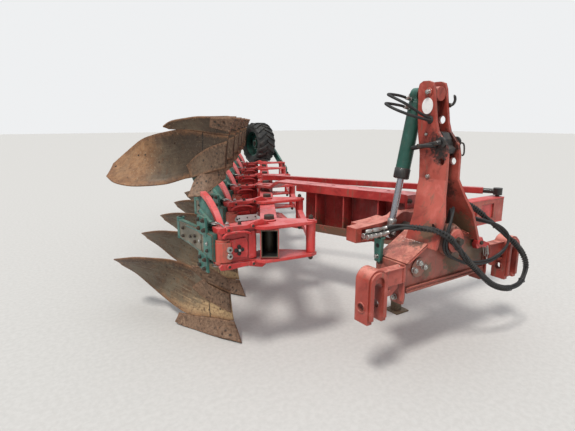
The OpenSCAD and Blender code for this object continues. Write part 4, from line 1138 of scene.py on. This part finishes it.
# Trim of the stations
NOSE = [(-404, -16), (-403, -46), (-393, -66), (-374, -79), (-350, -83), (-324, -82), (-312, -74),
        (-308, -56), (-308, -16)]
LIP = [(-386, 704), (-404, 690), (-396, 668), (-330, 662), (-210, 668), (-150, 650), (-104, 640),
       (-66, 662), (-40, 684), (-60, 700), (-200, 690), (-340, 702)]
LINK_PIN = (280 * math.cos(BEAM_ANGLE), -280 * math.sin(BEAM_ANGLE))
CARRIER_X = -414.3
EYE_X, EYE_Y = -390.3, 618


def add_bracket_trim(k):
    kit = Kit(Matrix.Translation(bolt_at(k)))
    # Rounded nose, raised panel and pillar of the housing
    kit.plate(NOSE, 712, 836, "orange")
    kit.plate([(x * 0.96 - 14, y * 0.9) for x, y in NOSE], 836, 852, "orange")
    kit.plate([(x * 0.97 - 11, y * 0.92) for x, y in NOSE], 698, 712, "orange")
    panel = [(-346, 740), (-210, 722), (-200, 740), (-200, 820), (-216, 852), (-346, 846)]
    kit.plate(panel, -74, -60, "red", "xz")
    kit.plate([(-196, 706), (-136, 706), (-142, 886), (-190, 886)], -68, -40, "red", "xz")
    # Lips of the two bracket plates with their bosses, and the pressed lever
    for flip in (0, 1):
        lip = [(x, 2 * AXIS_Z - z) for x, z in LIP][::-1] if flip else LIP
        kit.plate(lip, -86, -70, "red", "xz")
        for x, z in ((-339, 683), (-170, 676)):
            z = 2 * AXIS_Z - z if flip else z
            kit.turned([(0, 17), (7, 17), (9, 14)], (x, -84, z), FRONT, "red", 24)
            kit.turned([(0, 10), (11, 10)], (x, -84, z), FRONT, "dark", 16)
    lever = [(-372, -78, 868), (-350, -84, 892), (-290, -86, 897), (-220, -84, 890), (-180, -76, 872)]
    kit.tube(smooth_path(lever, 20), 9, "red", 10)
    for z in (791, 749):
        kit.turned([(0, 20), (8, 20), (10, 17)], (-331, -80, z), FRONT, "zinc", 24)
        kit.turned([(9, 9), (14, 9), (15, 7)], (-331, -80, z), FRONT, "dark", 6)
    for dx, dz in ((0, 22), (0, -22), (-22, 0), (22, 0), (0, 0)):
        kit.turned([(0, 12.5), (7, 12.5), (9, 9)], (-263 + dx, -73, 777 + dz), FRONT, "grease", 18)
    kit.bolt((-263, -80, 777), FRONT, 15, "zinc", washer=False, stud=False)
    # Pivot bolt, its cap and the link pin at both ends
    for up in (-1, 1):
        z, out = AXIS_Z + up * 120, (0, 0, up)
        kit.turned([(0, 47), (9, 47), (12, 43)], (0, 0, z), out, "red", 36)
        kit.turned([(9, 38), (34, 38), (38, 33), (40, 20)], (0, 0, z), out, "dark", 6)
        kit.turned([(0, 27), (6, 27), (8, 24)], (*LINK_PIN, z), out, "red", 28)
        kit.bolt((*LINK_PIN, z + up * 6), out, 30, "dark")
        kit.bolt((-300, 12, z), out, 26, "zinc")
        kit.bolt((-215, 8, z), out, 22, "dark")
    # Hooks of round bar over the spring
    for up in (-1, 1):
        z = AXIS_Z + up * 138
        turns = [math.radians(-40 + 340 * i / 26) for i in range(27)]
        ring = [(-366 + 24 * math.cos(a), 46 + 24 * math.sin(a), z) for a in turns]
        kit.tube(ring, 4.5, "zinc", 8)
        kit.tube([ring[0], (-342, 10, z - up * 6), (-338, -30, z - up * 14)], 4.5, "zinc", 8)
    if k == 2:
        # Blank strip, its rivets and the two feet that carry it
        kit.plate([(-334, 778), (-148, 769), (-148, 816), (-334, 824)], -93, -90, "sign", "xz")
        for x in (-314, -241, -168):
            kit.turned([(0, 6), (3, 6), (4, 4)], (x, -92, 797), FRONT, "dark", 12)
        for x in (-290, -190):
            kit.box((x - 12, -92, 780), (x + 12, -66, 812), "dark")
    kit.done(f"bracket_trim_{k}", f"station_{k}", 2.5)


def add_carrier_trim(k):
    kit = Kit(Matrix.Translation(bolt_at(k)))
    x = CARRIER_X
    # Leaves on the outer face of the carrier, scoured bare in the middle
    for thick, mat, outline in (
            (6, "worn", [(-26, 716), (130, 718), (560, 742), (586, 760), (586, 842), (560, 858), (130, 882),
                         (-26, 884)]),
            (12, "teal", [(-24, 724), (96, 724), (104, 748), (104, 852), (96, 876), (-24, 876)]),
            (9, "worn", [(150, 736), (470, 748), (492, 770), (492, 834), (470, 852), (150, 864)])):
        kit.plate(outline, x - thick, x + 2, mat, "yz")
    for z in (868, 732):
        end = AXIS_Z + (z - AXIS_Z) * 0.78
        kit.tube([(x - 5, -20, z), (x - 7, 140, z), (x - 6, 420, end)], 5, "teal", 8)
    for y, z, across, mat in ((159, 806, 21, "zinc"), (40, 816, 21, "zinc"), (40, 770, 21, "dark"),
                              (470, 830, 21, "dark"), (474, 772, 21, "dark"), (250, 820, 20, "dark"),
                              (250, 780, 20, "dark"), (330, 800, 20, "dark")):
        kit.bolt((x - 8, y, z), LEFT, across, mat, washer=mat == "dark", stud=across == 21)
    # Clamp plates where the shanks of the two bodies are bolted on
    for up in (-1, 1):
        low, high = sorted((AXIS_Z + up * 60, AXIS_Z + up * 178))
        clamp = [(40, low), (178, low), (196, (low + high) / 2), (182, high), (56, high)]
        kit.plate(clamp, x - 16, x - 2, "teal", "yz")
        for y, z in ((70, 96), (150, 96), (80, 158), (158, 152)):
            kit.bolt((x - 16, y, AXIS_Z + up * z), LEFT, 24, "dark", washer=y < 100)
    kit.box((x - 9, 560, 748), (x + 4, 600, 852), "teal")
    # Tube of the spring linkage, above and below
    for up in (-1, 1):
        start, end = Vector((-372, 262, AXIS_Z + up * 186)), Vector((-366, 96, AXIS_Z + up * 118))
        spring = [(0, 12), (4, 17), (150, 17), (156, 21), (170, 21), (174, 14)]
        kit.turned(spring, start, end - start, "teal", 24)
        kit.bolt((-392, 193, AXIS_Z + up * 119), LEFT, 20, "dark", stud=False)
    # Rolled rear eye with its bush
    for up in (-1, 1):
        seat, out = (EYE_X, EYE_Y, AXIS_Z + up * 70), (0, 0, up)
        kit.turned([(0, 29), (8, 29), (10, 26), (10, 16.5), (-3, 16.5)], seat, out, "teal", 28, close=False)
        kit.turned([(0, 14), (16, 14), (18, 11)], seat, out, "dark", 6)
    kit.done(f"carrier_trim_{k}", f"station_{k}", 2.0)


# Depth wheel. Half of the tyre's section, from the bead to the middle of the tread: (across, radius).
TYRE_HALF = [(124, 206), (130, 214), (143, 232), (152, 258), (153, 282), (144, 302), (128, 313),
             (90, 318), (45, 321)]
TYRE_SIDES = 96
LUGS, LUG_STEPS = 20, 9


def add_tyre():
    """Farm tyre with chevron lugs, turned about the wheel's axle."""
    low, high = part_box("wheel_tyre")
    centre = ((low + high) / 2 - SHIFT) * 1000
    kit = Kit()
    profile = [(-x, r) for x, r in TYRE_HALF] + [(0, 322)] + TYRE_HALF[::-1]
    points = []
    for along, radius in profile:
        points += circle(centre + Vector((along, 0, 0)), ACROSS_Y, ACROSS_Z, radius, TYRE_SIDES)
    faces = [(a, d, c, b) for a, b, c, d in skin(len(profile), TYRE_SIDES)]
    kit.add(points, faces, "tyre", True)
    for k in range(LUGS):
        for side in (-1, 1):
            add_lug(kit, centre, side, 2 * math.pi * (k + (0.5 if side > 0 else 0.0)) / LUGS)
    for x in (-146, 146):
        bead = circle(centre + Vector((x, 0, 0)), ACROSS_Y, ACROSS_Z, 246, 72)
        kit.tube(bead, 4, "tyre", 6, closed=True)
    kit.done("depth_tyre", "wheel", 3, 45, ["wheel_tyre"])
    hub = Kit()
    for seat in circle(centre + Vector((-20, 0, 0)), ACROSS_Y, ACROSS_Z, 92, 6):
        hub.bolt(seat, LEFT, 24, "zinc")
    hub.turned([(0, 40), (8, 40), (14, 34), (16, 20)], centre + Vector((-68, 0, 0)), LEFT, "dark", 24)
    hub.done("wheel_bolts", "wheel")


def add_lug(kit, centre, side, turn):
    """One lug of the tread, from the middle to the shoulder, with its foot wider than its top."""
    points, faces = [], []
    for i in range(LUG_STEPS + 1):
        s = i / LUG_STEPS
        along = side * (-6 + s * 152)
        width = 0.044 + 0.016 * s
        foot = 316 - 22 * max(0, s - 0.75) * 4 * s
        top = 343.5 - 4.5 * s * s - 30 * max(0.0, s - 0.80) * 4
        for radius, spread in ((foot, 1.25), (top, 0.85), (top, -0.85), (foot, -1.25)):
            a = turn + 0.30 * s + width * spread
            points.append(centre + Vector((along, radius * math.cos(a), radius * math.sin(a))))
    for i in range(LUG_STEPS):
        for j in range(3):
            faces.append((i * 4 + j, i * 4 + j + 1, (i + 1) * 4 + j + 1, (i + 1) * 4 + j))
    last = LUG_STEPS * 4
    faces += [(0, 3, 2, 1), (last, last + 1, last + 2, last + 3)]
    kit.add(points, [f[::-side] for f in faces], "tyre")


# Floor and light
def add_stage():
    mesh = bpy.data.meshes.new("floor")
    mesh.from_pydata([(-60, -60, 0), (60, -60, 0), (60, 60, 0), (-60, 60, 0)], [], [(0, 1, 2, 3)])
    s = Surface("studio_floor", (0.56, 0.55, 0.53), rough=0.9)
    s.over(s.band(s.noise(30, 4), 0.3, 0.7), (0.61, 0.60, 0.58))
    s.feed(s.bsdf, {"Specular IOR Level": 0.1})
    mesh.materials.append(s.done())
    place_object("floor", mesh)

    # The camera sees a plain pale backdrop; the light grows towards the top of the sky
    world = bpy.data.worlds.new("studio")
    bpy.context.scene.world = world
    world.use_nodes = True
    sky = Graph(world.node_tree)
    height = sky.split(sky.node("ShaderNodeTexCoord", "Generated"))[2]
    growth = {"Value": height, "From Max": 0.9, "To Min": 0.30, "To Max": 0.95}
    rise = sky.node("ShaderNodeMapRange", 0, growth)
    light = sky.node("ShaderNodeBackground", 0, {"Color": (0.94, 0.965, 1.0), "Strength": rise})
    pale = sky.node("ShaderNodeBackground", 0, {"Color": (0.86, 0.87, 0.88), "Strength": 1.0})
    seen = sky.node("ShaderNodeLightPath", "Is Camera Ray")
    mix = sky.node("ShaderNodeMixShader", 0, {0: seen, 1: light, 2: pale})
    sky.feed(sky.tree.nodes["World Output"], {"Surface": mix})

    sun = bpy.data.lights.new("sun", "SUN")
    sun.energy = 2.1
    sun.angle = math.radians(12)
    sun.color = (1.0, 0.97, 0.92)
    aim(place_object("sun", sun), Vector((0.46, 0.22, -0.86)))
    bpy.context.scene.view_settings.view_transform = "Standard"


add_camera()
add_hoses()
add_ram_hoses()
dress_nodes()
add_boards()
add_tyre()
add_cross_beam_trim()
add_tower_trim()
add_fork_rims()
add_coupling_lug()
add_ram_trim()
add_head_trim()
add_beam_trim()
for station in STATIONS:
    add_bracket_trim(station)
    add_carrier_trim(station)
add_stage()


bpy.context.view_layer.update()
